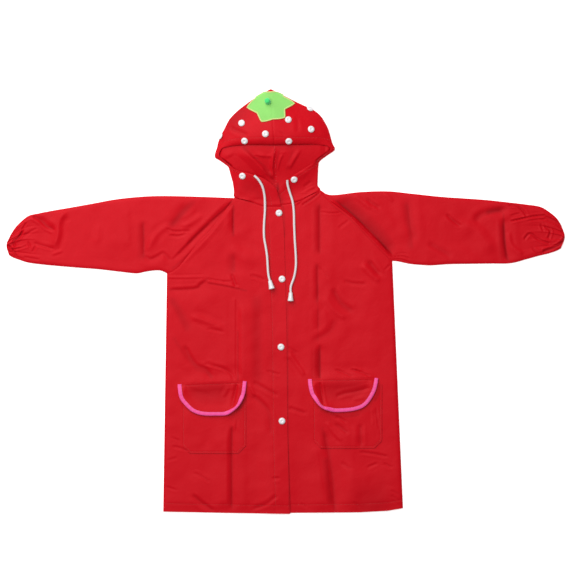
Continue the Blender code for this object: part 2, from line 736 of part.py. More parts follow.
def sleeve_ring(side, at, inset):
    """Ring round a flat sleeve: inset 0 gives its outer face, CLOTH its inner one."""
    top, low = sleeve_point(side, at, 0), sleeve_point(side, at, 1)
    width = math.dist(top, low)
    gathers = [(section.gather,) for section in SLEEVES[side]]
    gather = min(max(smooth_between(gathers, at)[0], 0.0), 1.0)
    start = (EDGE_TURN + inset) / width

    def place(share):
        return sleeve_point(side, at, start + (1 - 2 * start) * share)

    def wave(share, count):
        return 0.5 - 0.5 * math.cos(2 * math.pi * count * share)

    def inner_share(share):
        return ease(8 * share * (1 - share))

    upper = []
    for k in range(UPPER_CELLS + 1):
        share = k / UPPER_CELLS
        x, y = place(share)
        below = gather * LOWER_GATHER_RISE * wave(share, LOWER_GATHERS)
        fold = UPPER_GATHER_RISE * wave(share, UPPER_GATHERS) - GATHER_SINK
        top = cloth_top(x, y) + gather * fold * inner_share(share)
        upper.append((x, y, max(top, below + EDGE_TOP + gather * GATHER_SPARE) - inset))
    lower = []
    for k in range(LOWER_CELLS + 1):
        share = 1 - k / LOWER_CELLS
        x, y = place(share)
        lower.append((x, y, gather * LOWER_GATHER_RISE * wave(share, LOWER_GATHERS) + inset))

    def turn(edge_share, above, below):
        x, y = sleeve_point(side, at, edge_share)
        return (x, y, 0.5 * (above[2] + below[2]))

    edge = inset / width
    low_turn = turn(1 - edge, upper[-1], lower[0])
    top_turn = turn(edge, upper[0], lower[-1])
    return upper + [low_turn] + lower + [top_turn]


def make_sleeve(side):
    """One sleeve: a flattened tube, open at the raglan seam and at the gathered wrist."""
    outside = [sleeve_ring(side, at, 0) for at in SLEEVE_STATIONS]
    inside = [sleeve_ring(side, at, CLOTH) for at in SLEEVE_STATIONS]
    name = "sleeve_" + side
    return add_object(name, wall_mesh(name, outside, inside, round_columns=True), RED, 0.5)


# ---------------------------------------------------------------------------
# Hood
# ---------------------------------------------------------------------------


def side_normal(ribs, index):
    """Outward plan direction at the side fold of one rib."""
    before, after = ribs[max(index - 1, 0)], ribs[min(index + 1, len(ribs) - 1)]
    if index == len(ribs) - 1:
        return Vector((0, 1))
    run = Vector((after.side_x - before.side_x, after.side_y - before.side_y)).normalized()
    out = Vector((-run.y, run.x))
    return out if ribs[0].side_x < 0 else -out


def rib_points(side, index, inset):
    """Hood along one rib, from the face edge to the centre seam, moved in by inset."""
    ribs = HOOD[side]
    rib = ribs[index]
    out = side_normal(ribs, index)
    pivot = Vector((rib.side_x, rib.side_y)) - out * rib.turn
    shares = neck_shares(side)
    points = []
    for k in range(FACE_CELLS):
        if index == 0:
            x, y = neck_point(side, shares[k])
            y += GAP + SEAM_SPARE
            z = front_top(side, x, y)
        else:
            q = (k / FACE_CELLS) ** FACE_SPREAD
            x, y = Vector((rib.face_x, rib.face_y)).lerp(pivot, q)
            crown = math.sin(math.pi * q**CROWN_SKEW)
            z = 2 * rib.turn + (rib.face_z - 2 * rib.turn) * (1 - q * q) + rib.puff * crown
        points.append((x, y, z - inset))
    for k in range(TURN_CELLS + 1):
        angle = math.pi * (0.5 - k / TURN_CELLS)
        x, y = pivot + out * (rib.turn - inset) * math.cos(angle)
        points.append((x, y, rib.turn + (rib.turn - inset) * math.sin(angle)))
    seam = Vector((x_at(HOOD_SEAM_LINE, rib.seam_y), rib.seam_y))
    for k in range(1, BACK_CELLS + 1):
        x, y = pivot.lerp(seam, k / BACK_CELLS)
        points.append((x, y, inset))
    return points


def hood_grid(side, inset=0.0):
    """Half the hood, one row of points for each station from neck to crown seam."""
    ribs = [rib_points(side, index, inset) for index in range(len(HOOD[side]))]
    columns = len(ribs[0])
    step = -SEAM_HALF if side == "right" else SEAM_HALF
    grid = []
    for at in HOOD_STATIONS:
        row = [smooth_between([rib[column] for rib in ribs], at) for column in range(columns)]
        for column in range(FACE_CELLS + TURN_CELLS + 1, columns):
            x, y, _ = row[column]
            row[column] = (x, y, inset + relief(x, y, HOOD_BACK_FOLDS))
        if at == HOOD_STATIONS[-1]:
            row = [(x + step, y, z) for x, y, z in row]
        else:
            x, y, z = row[-1]
            row[-1] = (x_at(HOOD_SEAM_LINE, y) + step, y, z)
        grid.append(row)
    return grid


def make_hood_half(side):
    """Half the hood, from the face edge over the side fold to the centre seam."""
    name = "hood_" + side
    mesh = wall_mesh(name, hood_grid(side), hood_grid(side, CLOTH))
    return add_object(name, mesh, RED, 0.5)


# ---------------------------------------------------------------------------
# Pockets, flaps and binding
# ---------------------------------------------------------------------------


def make_pocket(side, front):
    """Patch pocket with cut corners, its edges sewn down and its middle a little full."""
    place = POCKETS[side]
    width = place.left_x - place.right_x
    crease = x_at(CREASE_LINE[side], place.bottom_y)
    lines = [place.right_x + width * share for share in POCKET_COLUMNS]
    lines = [x for x in lines if abs(x - crease) > PACKING_CREASE_HALF]
    lines += [crease + step * PACKING_CREASE_HALF for step in (-1, 0, 1)]
    lines = sorted(x for x in lines if place.right_x <= x <= place.left_x)
    middle = (place.right_x + place.left_x) / 2
    tree = surface_of(front)
    grid = []
    for level in POCKET_ROWS:
        y = place.top_y + (place.bottom_y - place.top_y) * level
        cut = max(0.0, POCKET_CORNER - (y - place.bottom_y))
        row = []
        for x in lines:
            share = (x - middle) / (width / 2)
            x = middle + (x - middle) * (1 - cut * abs(share) ** 3 / (width / 2))
            full = math.sin(math.pi * min(level, 0.999)) * (1 - share**4)
            z = height_on(tree, x, y) + POCKET_REST + CLOTH + POCKET_PUFF * full
            row.append((x, y, z))
        grid.append(row)
    name = "pocket_" + side
    return add_object(name, wall_mesh(name, grid, lowered(grid, CLOTH)), RED, 0.5)


def flap_root(side, x):
    """The y of a flap's straight root at one x."""
    return y_at((FLAP_EDGE[side][0], FLAP_EDGE[side][-1]), x)


def flap_point(side, share, inset=0.0):
    """Point inside a flap's curved edge, a share of the way round it from its right end."""
    before, after = (along(FLAP_EDGE[side], share + step) for step in (-FLAP_STEP, FLAP_STEP))
    run = Vector(after) - Vector(before)
    inward = Vector((-run.y, run.x)).normalized()
    x, y = Vector(along(FLAP_EDGE[side], share)) + inward * inset
    return x, min(y, flap_root(side, x))


def flap_shares():
    """Where the flap's columns and the binding's sections stand, closer at the ends."""
    return list(FLAP_SHARES) + [1 - share for share in FLAP_SHARES[-2::-1]]


def flap_under(side, x, y):
    """Height of a flap's under side: it rises from its root over the pocket's top."""
    deep = min(max((flap_root(side, x) - y) / FLAP_DEPTH, 0.0), 1.0)
    for (d0, lift0), (d1, lift1) in zip(FLAP_LIFT, FLAP_LIFT[1:]):
        if deep <= d1:
            lift = lift0 + (lift1 - lift0) * ease((deep - d0) / (d1 - d0))
            break
    return FLAT_TOP + lift + relief(x, y, FLAP_FOLDS)


def make_flap(side):
    """Pocket flap, turned under at its root, with its curved edge inside the binding."""
    top = [[] for _ in FLAP_ROWS]
    bottom = [[] for _ in FLAP_ROWS]
    shares = flap_shares()
    first_x = flap_point(side, shares[0], BINDING_WIDTH + 1)[0]
    last_x = flap_point(side, shares[-1], BINDING_WIDTH + 1)[0]
    for column, share in enumerate(shares):
        edge = flap_point(side, share, BINDING_WALL + GAP)
        inside = flap_point(side, share, BINDING_WIDTH + 1)
        root_x = first_x + (last_x - first_x) * column / (len(shares) - 1)
        root = Vector((root_x, flap_root(side, root_x)))
        for row, down in enumerate(FLAP_ROWS):
            x, y = edge if down is None else root.lerp(inside, down)
            under = flap_under(side, x, y)
            turned_under = FLAP_ROOT_TURN if down == 0 else 0
            top[row].append((x, y, under + CLOTH))
            bottom[row].append((x, y, under - turned_under))
    name = "flap_" + side
    return add_object(name, wall_mesh(name, top, bottom), RED, 0.5)


def make_binding(side):
    """Bias tape folded over the flap's curved edge: a U section swept round it."""
    clear = GAP + BINDING_SPARE
    fold = BINDING_WALL + clear
    section = (
        (0, CLOTH + fold),
        (BINDING_WIDTH, CLOTH + fold),
        (BINDING_WIDTH, CLOTH + clear),
        (BINDING_WALL, CLOTH + clear),
        (BINDING_WALL, -clear),
        (BINDING_WIDTH, -clear),
        (BINDING_WIDTH, -fold),
        (0, -fold),
    )
    shape = bmesh.new()
    rings = []
    for share in flap_shares():
        ring = []
        for depth, height in section:
            x, y = flap_point(side, share, depth)
            ring.append(shape.verts.new(Vector((x, y, flap_under(side, x, y) + height)) * MM))
        rings.append(ring)
    count = len(section)
    for first, second in zip(rings, rings[1:]):
        for k in range(count):
            m = (k + 1) % count
            add_quad(shape, first[k], first[m], second[m], second[k])
    for ring in (rings[0], rings[-1]):
        add_quad(shape, ring[0], ring[1], ring[2], ring[3])
        add_quad(shape, ring[0], ring[3], ring[4], ring[7])
        add_quad(shape, ring[4], ring[5], ring[6], ring[7])
    name = "flap_binding_" + side
    return add_object(name, finished_mesh(name, shape), PINK, 0.45)


# ---------------------------------------------------------------------------
# Turned pieces
# ---------------------------------------------------------------------------


def turned(name, profile, colour, roughness, steps=12):
    """Solid turned about Z from a profile of (radius, height), outer side downwards."""
    mesh = bpy.data.meshes.new(name)
    points = [(radius * MM, 0, height * MM) for radius, height in profile]
    mesh.from_pydata(points, [(k, k + 1) for k in range(len(points) - 1)], [])
    thing = add_object(name, mesh, colour, roughness)
    screw = thing.modifiers.new("turn", "SCREW")
    screw.steps = screw.render_steps = steps
    screw.use_merge_vertices = True
    screw.merge_threshold = 0.00001
    return thing


def cap_profile():
    """Domed cap with a dimpled middle, from the middle of its top down and round."""
    return (
        (0, CAP_HEIGHT - CAP_DIMPLE),
        (CAP_DIMPLE_RADIUS, CAP_HEIGHT),
        (CAP_RADIUS * 0.72, CAP_HEIGHT - 0.25),
        (CAP_RADIUS, CAP_RIM),
        (CAP_RADIUS * 0.94, 0),
        (0, 0),
    )


def seat(thing, tree, spot, normal, radius):
    """Stand a turned piece on a surface: its base clears every facet under it by GAP."""
    normal = normal.normalized()
    turn = Vector((0, 0, 1)).rotation_difference(normal)
    highest = 0.0
    for k in range(SEAT_FEELERS):
        angle = 2 * math.pi * k / SEAT_FEELERS
        reach = radius * (1 if k % 2 else 0.5) * MM
        offset = turn @ Vector((math.cos(angle), math.sin(angle), 0)) * reach
        start = spot + offset + normal * SEAT_ABOVE * MM
        hit = tree.ray_cast(start, -normal, 2 * SEAT_ABOVE * MM)[0]
        if hit is not None:
            highest = max(highest, (hit - spot).dot(normal))
    thing.rotation_mode = "QUATERNION"
    thing.rotation_quaternion = turn
    thing.location = spot + normal * (highest + GAP * MM)


def make_snaps(front):
    """Snap caps down the right front's edge."""
    tree = surface_of(front)
    for number, (x, y) in enumerate(SNAPS, start=1):
        hit, normal, _, _ = tree.ray_cast(Vector((x, y, SKY)) * MM, DOWN)
        cap = turned("snap_%d" % number, cap_profile(), WHITE, 0.3, steps=14)
        seat(cap, tree, hit, normal, CAP_RADIUS)


def make_hood_dots(hoods):
    """White domed caps set over the hood, square to its cloth."""
    tree = surface_of(*hoods)
    for number, target in enumerate(HOOD_DOTS, start=1):
        hit, normal, _, _ = tree.find_nearest(Vector(target) * MM)
        cap = turned("hood_dot_%02d" % number, cap_profile(), WHITE, 0.3)
        seat(cap, tree, hit, normal, CAP_RADIUS)


# ---------------------------------------------------------------------------
# Leaf and stem
# ---------------------------------------------------------------------------


def leaf_outline():
    """Star with concave sides; its upper points bend over the crown and look short."""
    points = []
    for index, tip in enumerate(LEAF_TIPS):
        after = LEAF_TIPS[(index + 1) % len(LEAF_TIPS)]
        turn = (after.degrees - tip.degrees) % 360
        for k in range(LEAF_CELLS):
            share = k / LEAF_CELLS
            peak = (tip if share < 0.5 else after).reach - LEAF_INNER
            reach = LEAF_INNER + peak * abs(1 - 2 * share) ** LEAF_HOLLOW
            angle = math.radians(tip.degrees + turn * share)
            x, y = reach * math.cos(angle), reach * math.sin(angle)
            if y > 0:
                y = CROWN_REACH * math.sin(min(y / CROWN_REACH, math.pi / 2))
            points.append((LEAF_CENTRE[0] + x, LEAF_CENTRE[1] + y))
    return points


def crown_layer(distance):
    """Grid of the crown's outer face over both halves, moved out by a distance."""
    start = HOOD_STATIONS.index(FIRST_CROWN_STATION)
    columns = FACE_CELLS + TURN_CELLS - 1
    right = hood_grid("right", -distance)[start:]
    left = hood_grid("left", -distance)[start:]
    middle = [
        tuple((a + b) / 2 for a, b in zip(p, q)) for p, q in zip(right[-1], left[-1])
    ]
    rows = right[:-1] + [middle] + left[-2::-1]
    return [row[:columns] for row in rows]


def make_leaf():
    """Leaf applique: the crown's own surface, moved out and cut to the star's outline."""
    rest = GAP + 0.1
    mesh = wall_mesh("leaf", crown_layer(rest + CLOTH), crown_layer(rest))
    leaf = add_object("leaf", mesh, LEAF_GREEN, 0.6)

    shape = bmesh.new()
    rim = [shape.verts.new((x * MM, y * MM, LEAF_LOWEST * MM)) for x, y in leaf_outline()]
    floor = shape.faces.new(rim)
    raised = bmesh.ops.extrude_face_region(shape, geom=[floor])["geom"]
    tops = [item for item in raised if isinstance(item, bmesh.types.BMVert)]
    bmesh.ops.translate(shape, verts=tops, vec=(0, 0, 80 * MM))
    cutter = bpy.data.objects.new("leaf_cutter", finished_mesh("leaf_cutter", shape))
    collection(CUTTERS).objects.link(cutter)
    cutter.hide_render = True
    cutter.display_type = "WIRE"

    cut = leaf.modifiers.new("outline", "BOOLEAN")
    cut.operation = "INTERSECT"
    cut.object = cutter
    return leaf


def make_stem(leaf):
    """Short stuffed stem that stands on the leaf, leaning a little."""
    graph = bpy.context.evaluated_depsgraph_get()
    solid = bpy.data.meshes.new_from_object(leaf.evaluated_get(graph))
    shape = bmesh.new()
    shape.from_mesh(solid)
    tree = BVHTree.FromBMesh(shape)
    shape.free()
    bpy.data.meshes.remove(solid)
    x, y = STEM_PLACE
    hit, normal, _, _ = tree.ray_cast(Vector((x, y, SKY)) * MM, DOWN)
    r = STEM_RADIUS
    profile = (
        (0, STEM_HEIGHT),
        (r * 0.62, STEM_HEIGHT - 0.6),
        (r * 0.93, STEM_HEIGHT - 2.6),
        (r, STEM_HEIGHT * 0.5),
        (r * 0.9, 0),
        (0, 0),
    )
    stem = turned("leaf_stem", profile, STEM_GREEN, 0.5)
    seat(stem, tree, hit, normal, r)


# ---------------------------------------------------------------------------
# Drawstrings
# ---------------------------------------------------------------------------


def make_drawstring(side):
    """Free stretch of the hood cord, as a round tube along a smooth route."""
    route = CORD_ROUTES[side]
    length = sum(math.dist(a, b) for a, b in zip(route, route[1:]))
    count = round(length / CORD_SPACING)
    curve = bpy.data.curves.new("drawstring_" + side, "CURVE")
    curve.dimensions = "3D"
    curve.bevel_depth = CORD_DIAMETER / 2 * MM
    curve.bevel_resolution = 2
    curve.use_fill_caps = True
    curve.resolution_u = 1
    curve.render_resolution_u = 0
    spline = curve.splines.new("POLY")
    spline.points.add(count)
    for k, point in enumerate(spline.points):
        x, y, z = along(route, k / count)
        point.co = (x * MM, y * MM, z * MM, 1)
    add_object("drawstring_" + side, curve, WHITE, 0.7)


def make_stop(side):
    """Bell-shaped cord stop: the cord meets its neck and its mouth is hollow."""
    before, neck = (Vector(point) for point in CORD_ROUTES[side][-2:])
    axis = (before - neck).normalized()
    profile = (
        (0, STOP_LENGTH),
        (STOP_NECK_RADIUS * 0.8, STOP_LENGTH),
        (STOP_NECK_RADIUS, STOP_LENGTH - 1),
        (STOP_NECK_RADIUS * 1.1, STOP_LENGTH * 0.6),
        (STOP_MOUTH_RADIUS, 0.8),
        (STOP_MOUTH_RADIUS * 0.95, 0),
        (STOP_BORE_RADIUS, 0),
        (STOP_BORE_RADIUS * 0.9, STOP_BORE_DEPTH),
        (0, STOP_BORE_DEPTH),
    )
    stop = turned("cord_end_" + side, profile, WHITE, 0.3)
    stop.rotation_mode = "QUATERNION"
    stop.rotation_quaternion = Vector((0, 0, 1)).rotation_difference(axis)
    stop.location = (neck - axis * (STOP_LENGTH + GAP)) * MM


def main():
    clear_scene()
    make_back()
    fronts = {side: make_front(side) for side in ("right", "left")}
    hoods = []
    for side in ("right", "left"):
        make_sleeve(side)
        hoods.append(make_hood_half(side))
        make_pocket(side, fronts[side])
        make_flap(side)
        make_binding(side)
        make_drawstring(side)
        make_stop(side)
    make_snaps(fronts["right"])
    make_hood_dots(hoods)
    make_stem(make_leaf())


main()
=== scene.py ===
"""Child's hooded rain coat, laid out flat on its back: the dressed model.

The coat lies face up: +Y runs from the hem to the hood, +X to the wearer's left, +Z up.
"Right" and "left" are the wearer's. Every piece of cloth is a thin closed shell on the
form of the solid that it replaces, with its folds, seams and gathers worked into it.
Sizes in the tables are in millimetres; MM turns them into metres when a mesh is made.
"""

import json
import math
from collections import namedtuple

import bmesh
import bpy
import numpy as np
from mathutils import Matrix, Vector
from mathutils.bvhtree import BVHTree

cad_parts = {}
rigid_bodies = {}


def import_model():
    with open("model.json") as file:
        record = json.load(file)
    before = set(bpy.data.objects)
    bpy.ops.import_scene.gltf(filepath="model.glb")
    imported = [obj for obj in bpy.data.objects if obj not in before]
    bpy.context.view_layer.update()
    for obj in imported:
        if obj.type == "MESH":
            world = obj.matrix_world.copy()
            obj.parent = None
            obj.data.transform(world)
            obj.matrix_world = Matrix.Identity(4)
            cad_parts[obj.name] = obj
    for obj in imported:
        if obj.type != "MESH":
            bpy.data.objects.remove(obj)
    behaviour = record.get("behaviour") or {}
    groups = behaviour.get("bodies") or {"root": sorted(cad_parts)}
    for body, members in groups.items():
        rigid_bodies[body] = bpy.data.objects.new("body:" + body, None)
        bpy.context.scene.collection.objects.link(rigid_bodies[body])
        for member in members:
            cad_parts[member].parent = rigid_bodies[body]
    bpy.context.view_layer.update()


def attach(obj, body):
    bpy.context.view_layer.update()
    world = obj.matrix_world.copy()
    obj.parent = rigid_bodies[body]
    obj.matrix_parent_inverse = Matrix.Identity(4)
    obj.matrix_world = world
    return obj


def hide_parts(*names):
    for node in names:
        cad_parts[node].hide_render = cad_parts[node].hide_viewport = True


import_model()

bl_info = {
    "name": "Kids rain coat",
    "version": (1, 0, 0),
    "blender": (4, 5, 0),
    "location": "3D View > Sidebar > Rain coat",
    "description": "Builds a child's hooded rain coat, laid out flat with its fronts snapped shut",
    "category": "Object",
}

MM = 0.001
SKY = 200.0  # rays that look down at the coat start here
DOWN = Vector((0, 0, -1))
SIDES = ("right", "left")

# --- Sizes shared with the coat's solids ---

FLAT_TOP = 4.6  # the upper cloth's outer face, away from edges and folds
EDGE_TOP = 2.3  # its outer face at the folded or sewn silhouette
EDGE_ROUND = 9.0  # how far in from there the cloth rounds up
HEM_ROUND = 25.0
HEM_DROP = 1.3  # how much the fronts come down over HEM_ROUND
HEM_SHORT = 2.0  # how far the back's hem stays behind the fronts' hem
UNDERLAP = 30.0  # how far the left front reaches under the right one
LAP_RISE = 1.3  # how much the right front climbs over the left one
LAP_HEM_RISE = 1.1  # and how much more it stands off near the hem
LAP_HEM_START = -210.0
LAP_HEM_RUN = 170.0
OVERLAP_MARGIN = 4.0
OVERLAP_FADE = 25.0
PACKING_CREASE_HALF = 10.0
CREASE_SHARES = (0.25, 0.78)
HEM_BEND_REACH = 120.0
NECK_BEND_POWER = 3
EDGE_TURN = 1.2  # room that a sleeve's fold takes inside its edge
BOW_POWER = 1.4
SEAM_STEP = 0.05  # between the fronts and what is sewn to them
FACE_SPREAD = 1.4
CROWN_SKEW = 0.55
NECK_COLUMNS = 6

RAGLAN = {
    "right": ((-94.4, 190.6), (-137, 133.2), (-158, 112), (-198, 61.5), (-218.5, 51.2)),
    "left": ((66, 205), (78.5, 188.5), (115.3, 161.4), (158.2, 115.6), (198.5, 74)),
}
NECK_SEAM = {
    "right": ((-7.4, 174), (-25, 174.3), (-42.6, 175.8), (-66, 184), (-94.4, 190.6)),
    "left": ((-37.4, 174), (-5, 177.5), (22.2, 183.2), (45, 194), (66, 205)),
}
OVERLAP_EDGE = ((-7.4, 174.0), (-1.9, 131.0), (3.0, -54.0), (4.6, -239.0), (9.2, -394.0))
SIDE_SEAM = {"right": ((-218.5, 51.2), (-225.4, -389.8)), "left": ((198.5, 74.0), (218.3, -383.4))}
HEM = {
    "right": ((-225.4, -389.8), (-110, -392.2), (9.2, -394)),
    "left": ((218.3, -383.4), (190, -388.2), (138.8, -391), (9.2, -392.2)),
}
CREASE_LINE = {
    "right": ((-85, 200), (-85, -180), (-92.5, -240), (-92.5, -400)),
    "left": ((64.8, 200), (64.8, -275), (90, -400)),
}

Section = namedtuple("Section", "top_x top_y low_x low_y bow gather")
SLEEVES = {
    "right": (
        (-94.4, 190.6, -218.5, 51.2, 0, 0),
        (-150, 192.8, -231, 56.4, 4, 0),
        (-200, 194.2, -246, 56, 5, 0),
        (-243, 194.3, -261, 53.6, 3, 0),
        (-282, 191.8, -276, 51.1, 0, 0),
        (-318, 187.5, -306, 54.2, 0, 0),
        (-356, 180.4, -346, 58.8, 0, 0),
        (-395, 173.4, -388, 62, 0, 0),
        (-430, 167.4, -425, 65.2, 0, 0),
        (-456, 162.3, -454, 68, 1, 0.15),
        (-474, 158, -477, 71.4, 2, 0.55),
        (-487.5, 148, -492, 76.2, 4, 0.85),
        (-500, 135, -503.5, 80.5, 5, 1),
        (-508.5, 121.5, -511, 85, 5.5, 1),
    ),
    "left": (
        (66, 205, 198.5, 74, 0, 0),
        (86, 196.3, 209.5, 73.1, 6, 0),
        (140, 201.8, 231, 68.6, 5, 0),
        (190, 203.1, 250, 66.8, 3, 0),
        (232, 199, 271, 65.9, 1, 0),
        (286, 193.2, 302, 68, 0, 0),
        (332, 190, 342, 68.7, 0, 0),
        (372, 187.1, 380, 69.2, 0, 0),
        (410, 183, 417, 69.8, 0, 0),
        (446, 178.8, 446, 77, 1, 0.15),
        (472, 174.6, 469, 83.4, 2, 0.55),
        (489, 165, 487, 87.6, 4, 0.85),
        (503, 153, 501.5, 92.4, 6, 1),
        (511.5, 140, 510.5, 97, 6.5, 1),
    ),
}
SLEEVES = {side: tuple(Section(*row) for row in rows) for side, rows in SLEEVES.items()}

Rib = namedtuple("Rib", "face_x face_y face_z side_x side_y turn puff seam_y")
HOOD = {
    "right": (
        (-7.4, 174.3, 5.9, -94, 191.6, 1.3, 0, 188),
        (-11, 192, 9, -94.4, 203, 2, 0.4, 198),
        (-19, 210.5, 12.5, -96.3, 215, 2.4, 0.8, 208),
        (-38, 225.5, 14.5, -98.6, 225.5, 2.8, 1, 219),
        (-62, 234.6, 14.5, -101, 235, 3, 0.8, 231),
        (-90, 242.2, 12, -103.4, 242.5, 3, 0.2, 243),
        (-101, 250.5, 9.5, -106.8, 249.6, 2.8, 0, 254),
        (-117.4, 264.4, 8.2, -120.5, 259.5, 2.8, 0, 265),
        (-122, 269.8, 7.6, -130, 267, 3, 0, 277),
        (-117, 281, 9, -126, 284.5, 3.5, 0.4, 290),
        (-103, 285.3, 11, -123.5, 295, 4, 1.5, 303),
        (-86, 287.2, 13, -114, 315, 5, 4, 319),
        (-66, 288.1, 15, -98.5, 341.5, 5.5, 7, 336),
        (-44, 288.2, 16.5, -64, 370, 6, 9.5, 353),
        (-20, 287.7, 17, -26.6, 392.4, 6, 10.5, 370),
    ),
    "left": (
        (-37.4, 174.3, 4.6, 65.8, 206, 1.3, 0, 188),
        (-27, 189, 5.2, 60.4, 213, 2, 0.2, 198),
        (-13, 204, 6.6, 60.3, 221, 2.4, 0.4, 208),
        (-1, 217.2, 9.5, 60.8, 230, 2.8, 0.6, 219),
        (15, 232, 12.5, 61.4, 240, 3, 0.8, 231),
        (42, 248.6, 12, 62, 249.5, 3, 0.2, 243),
        (58.6, 260.3, 9.5, 64.6, 258.6, 2.8, 0, 254),
        (75.5, 274, 8.2, 78.6, 269.2, 2.8, 0, 265),
        (84, 281, 7.6, 92.3, 280, 3, 0, 277),
        (78, 286.5, 9, 88.3, 291, 3.5, 0.4, 290),
        (65, 288.4, 11, 84.2, 304, 4, 1.5, 303),
        (48, 289, 13, 77, 325, 5, 4, 319),
        (27, 288.7, 15, 59.5, 348.5, 5.5, 7, 336),
        (4, 288, 16.5, 20, 368.8, 6, 9.5, 353),
        (-20, 287.7, 17, -26.6, 392.4, 6, 10.5, 370),
    ),
}
HOOD = {side: tuple(Rib(*row) for row in rows) for side, rows in HOOD.items()}
HOOD_SEAM_LINE = ((-16.0, 180.0), (-17.5, 250.0), (-20.0, 300.0), (-26.6, 392.4))

# Each flap's curved edge, from the right end of its root round to the left end
FLAP_EDGE = {
    "right": (
        (-198.6, -152.5), (-197.8, -165), (-194.5, -180), (-185, -193), (-171.5, -205),
        (-153, -211.3), (-128, -212.2), (-107, -210.8), (-94, -201.5), (-80.5, -187),
        (-73.6, -171), (-70.6, -147),
    ),
    "left": (
        (42.3, -143), (43.4, -157), (47.8, -173.5), (58, -187.5), (72, -199),
        (87, -204.8), (106, -205.2), (128, -202.8), (146, -196), (158.5, -183),
        (168.5, -163.5), (173, -141.5),
    ),
}
FLAP_STEP = 0.01
FLAP_DEPTH = 62.0
FLAP_LIFT = ((0.0, 1.5), (0.22, 2.5), (0.7, 2.7), (1.0, 2.9))
RIM_LIFT = 1.7  # how much the flap rises again towards its bound edge
RIM_REACH = 17.0
RIM_ENDS = 0.1
BINDING_WIDTH = 6.8
# Where each bound edge curls up: middle and half spread along the edge, degrees, mm raised
FlapCurl = namedtuple("FlapCurl", "share spread degrees foot")
FLAP_CURLS = {"right": FlapCurl(0.73, 0.15, 76, 1.2), "left": FlapCurl(0.29, 0.14, 76, 1.2)}
PocketPlace = namedtuple("PocketPlace", "right_x left_x top_y bottom_y")
POCKETS = {
    "right": PocketPlace(-190.0, -72.5, -162.5, -281.5),
    "left": PocketPlace(52.0, 179.0, -153.0, -272.0),
}
POCKET_CORNER = 14.0
POCKET_PUFF = 0.5
POCKET_REST = 0.5

SNAPS = ((-11.1, 162.8), (-5.6, 40.7), (-7.4, -85.1), (-5.6, -222.0))
HOOD_DOTS = (
    (-80, 328.4, 26), (-120.5, 305.3, 7.5), (-74.6, 295.5, 26), (-36.1, 308.2, 34),
    (6, 334.4, 32), (7, 294.9, 30), (46.5, 356, 10), (48, 317, 26),
    (-78.6, 231, 16), (16.8, 224.4, 14),
)
CAP_SIDEWAYS = 12.0  # caps whose middle is lower than this sit on the hood's turned side

CORD_ROUTES = {
    "right": (
        (-57, 231.5, 18.6), (-49, 224, 18.2), (-41.5, 211, 15.6), (-38, 196, 12),
        (-37, 181, 9.6), (-37.2, 164, 8.7), (-38.8, 140, 8.3), (-38.6, 118, 8.2),
        (-35.6, 100, 8.4), (-33, 82, 8.8), (-31.8, 62, 9.2), (-30.6, 48, 9.2),
        (-28, 37.5, 10.4),
    ),
    "left": (
        (4.2, 223, 16.2), (5, 214, 13.4), (9, 200, 9.8), (14, 184, 7.9),
        (16.3, 166, 7.2), (17, 140, 7.1), (18.2, 112, 7.1), (19.8, 88, 7.1),
        (20.2, 66, 7.1), (17.2, 46, 7.1), (10.9, 27, 7.9), (10.6, 15.5, 9.1),
    ),
}
STOP_LENGTH = 16.0
STOP_OVERLAP = 0.3  # how far the cord reaches into its stop

LEAF_CENTRE = (-27.8, 364.5)
LEAF_INNER = 30.0
LEAF_HOLLOW = 1.5
CROWN_REACH = 22.2
LEAF_LOWEST = 7.0
LeafTip = namedtuple("LeafTip", "degrees reach")
LEAF_TIPS = (
    LeafTip(1, 46.3),
    LeafTip(60, 45.0),
    LeafTip(124, 44.0),
    LeafTip(189, 43.5),
    LeafTip(245, 37.4),
    LeafTip(317, 38.4),
)
STEM_PLACE = (-31.2, 367.2)

# --- Finer detail of the cloth ---

CELL = 1.9  # side of a cloth shell's cells
# Grooves that seams and stitching draw in: how far they reach to either side, how deep
SEAM_GROOVE = (2.6, 0.5)
CROWN_GROOVE = (2.6, 0.6)
CASING_GROOVE = (3.0, 0.2)
STITCH_GROOVE = (2.0, 0.35)
POCKET_GROOVE = (1.6, 0.4)
FLAP_GROOVE = (2.2, 0.45)
# Uneven rise and fall of the cloth: how far each way, how long its bumps are, its seed
Swell = namedtuple("Swell", "height size seed")
BROAD_SWELL = Swell(1.1, 46, 3)
SMALL_SWELL = Swell(0.38, 17, 4)
POCKET_SWELL = Swell(0.25, 15, 8)
FLAP_SWELL = Swell(0.3, 21, 15)
HOOD_SWELL = Swell(0.45, 24, 11)
PLACKET_STITCH = 26.0  # from the front edge to the placket's stitching
HEM_STITCH = 15.0
POCKET_STITCH = 2.4
FLAP_STITCH = 4.5  # from the flap's root to its stitching
CASING = 17.0  # width of the cord's channel round the hood's face edge

# Creases and folds of the cloth. Each runs along a route; "left" and "right" are how wide
# its two walls are, to the left and right hand of the route; edge is 1 for a sharp crease
# and 0 for a soft one. A negative height is a trough. A row of a table has the two walls,
# the height and the edge first, and then the points of the route.
Crease = namedtuple("Crease", "route left right height edge")


def table(*rows):
    """Creases from their rows."""
    return tuple(Crease(row[4:], *row[:4]) for row in rows)


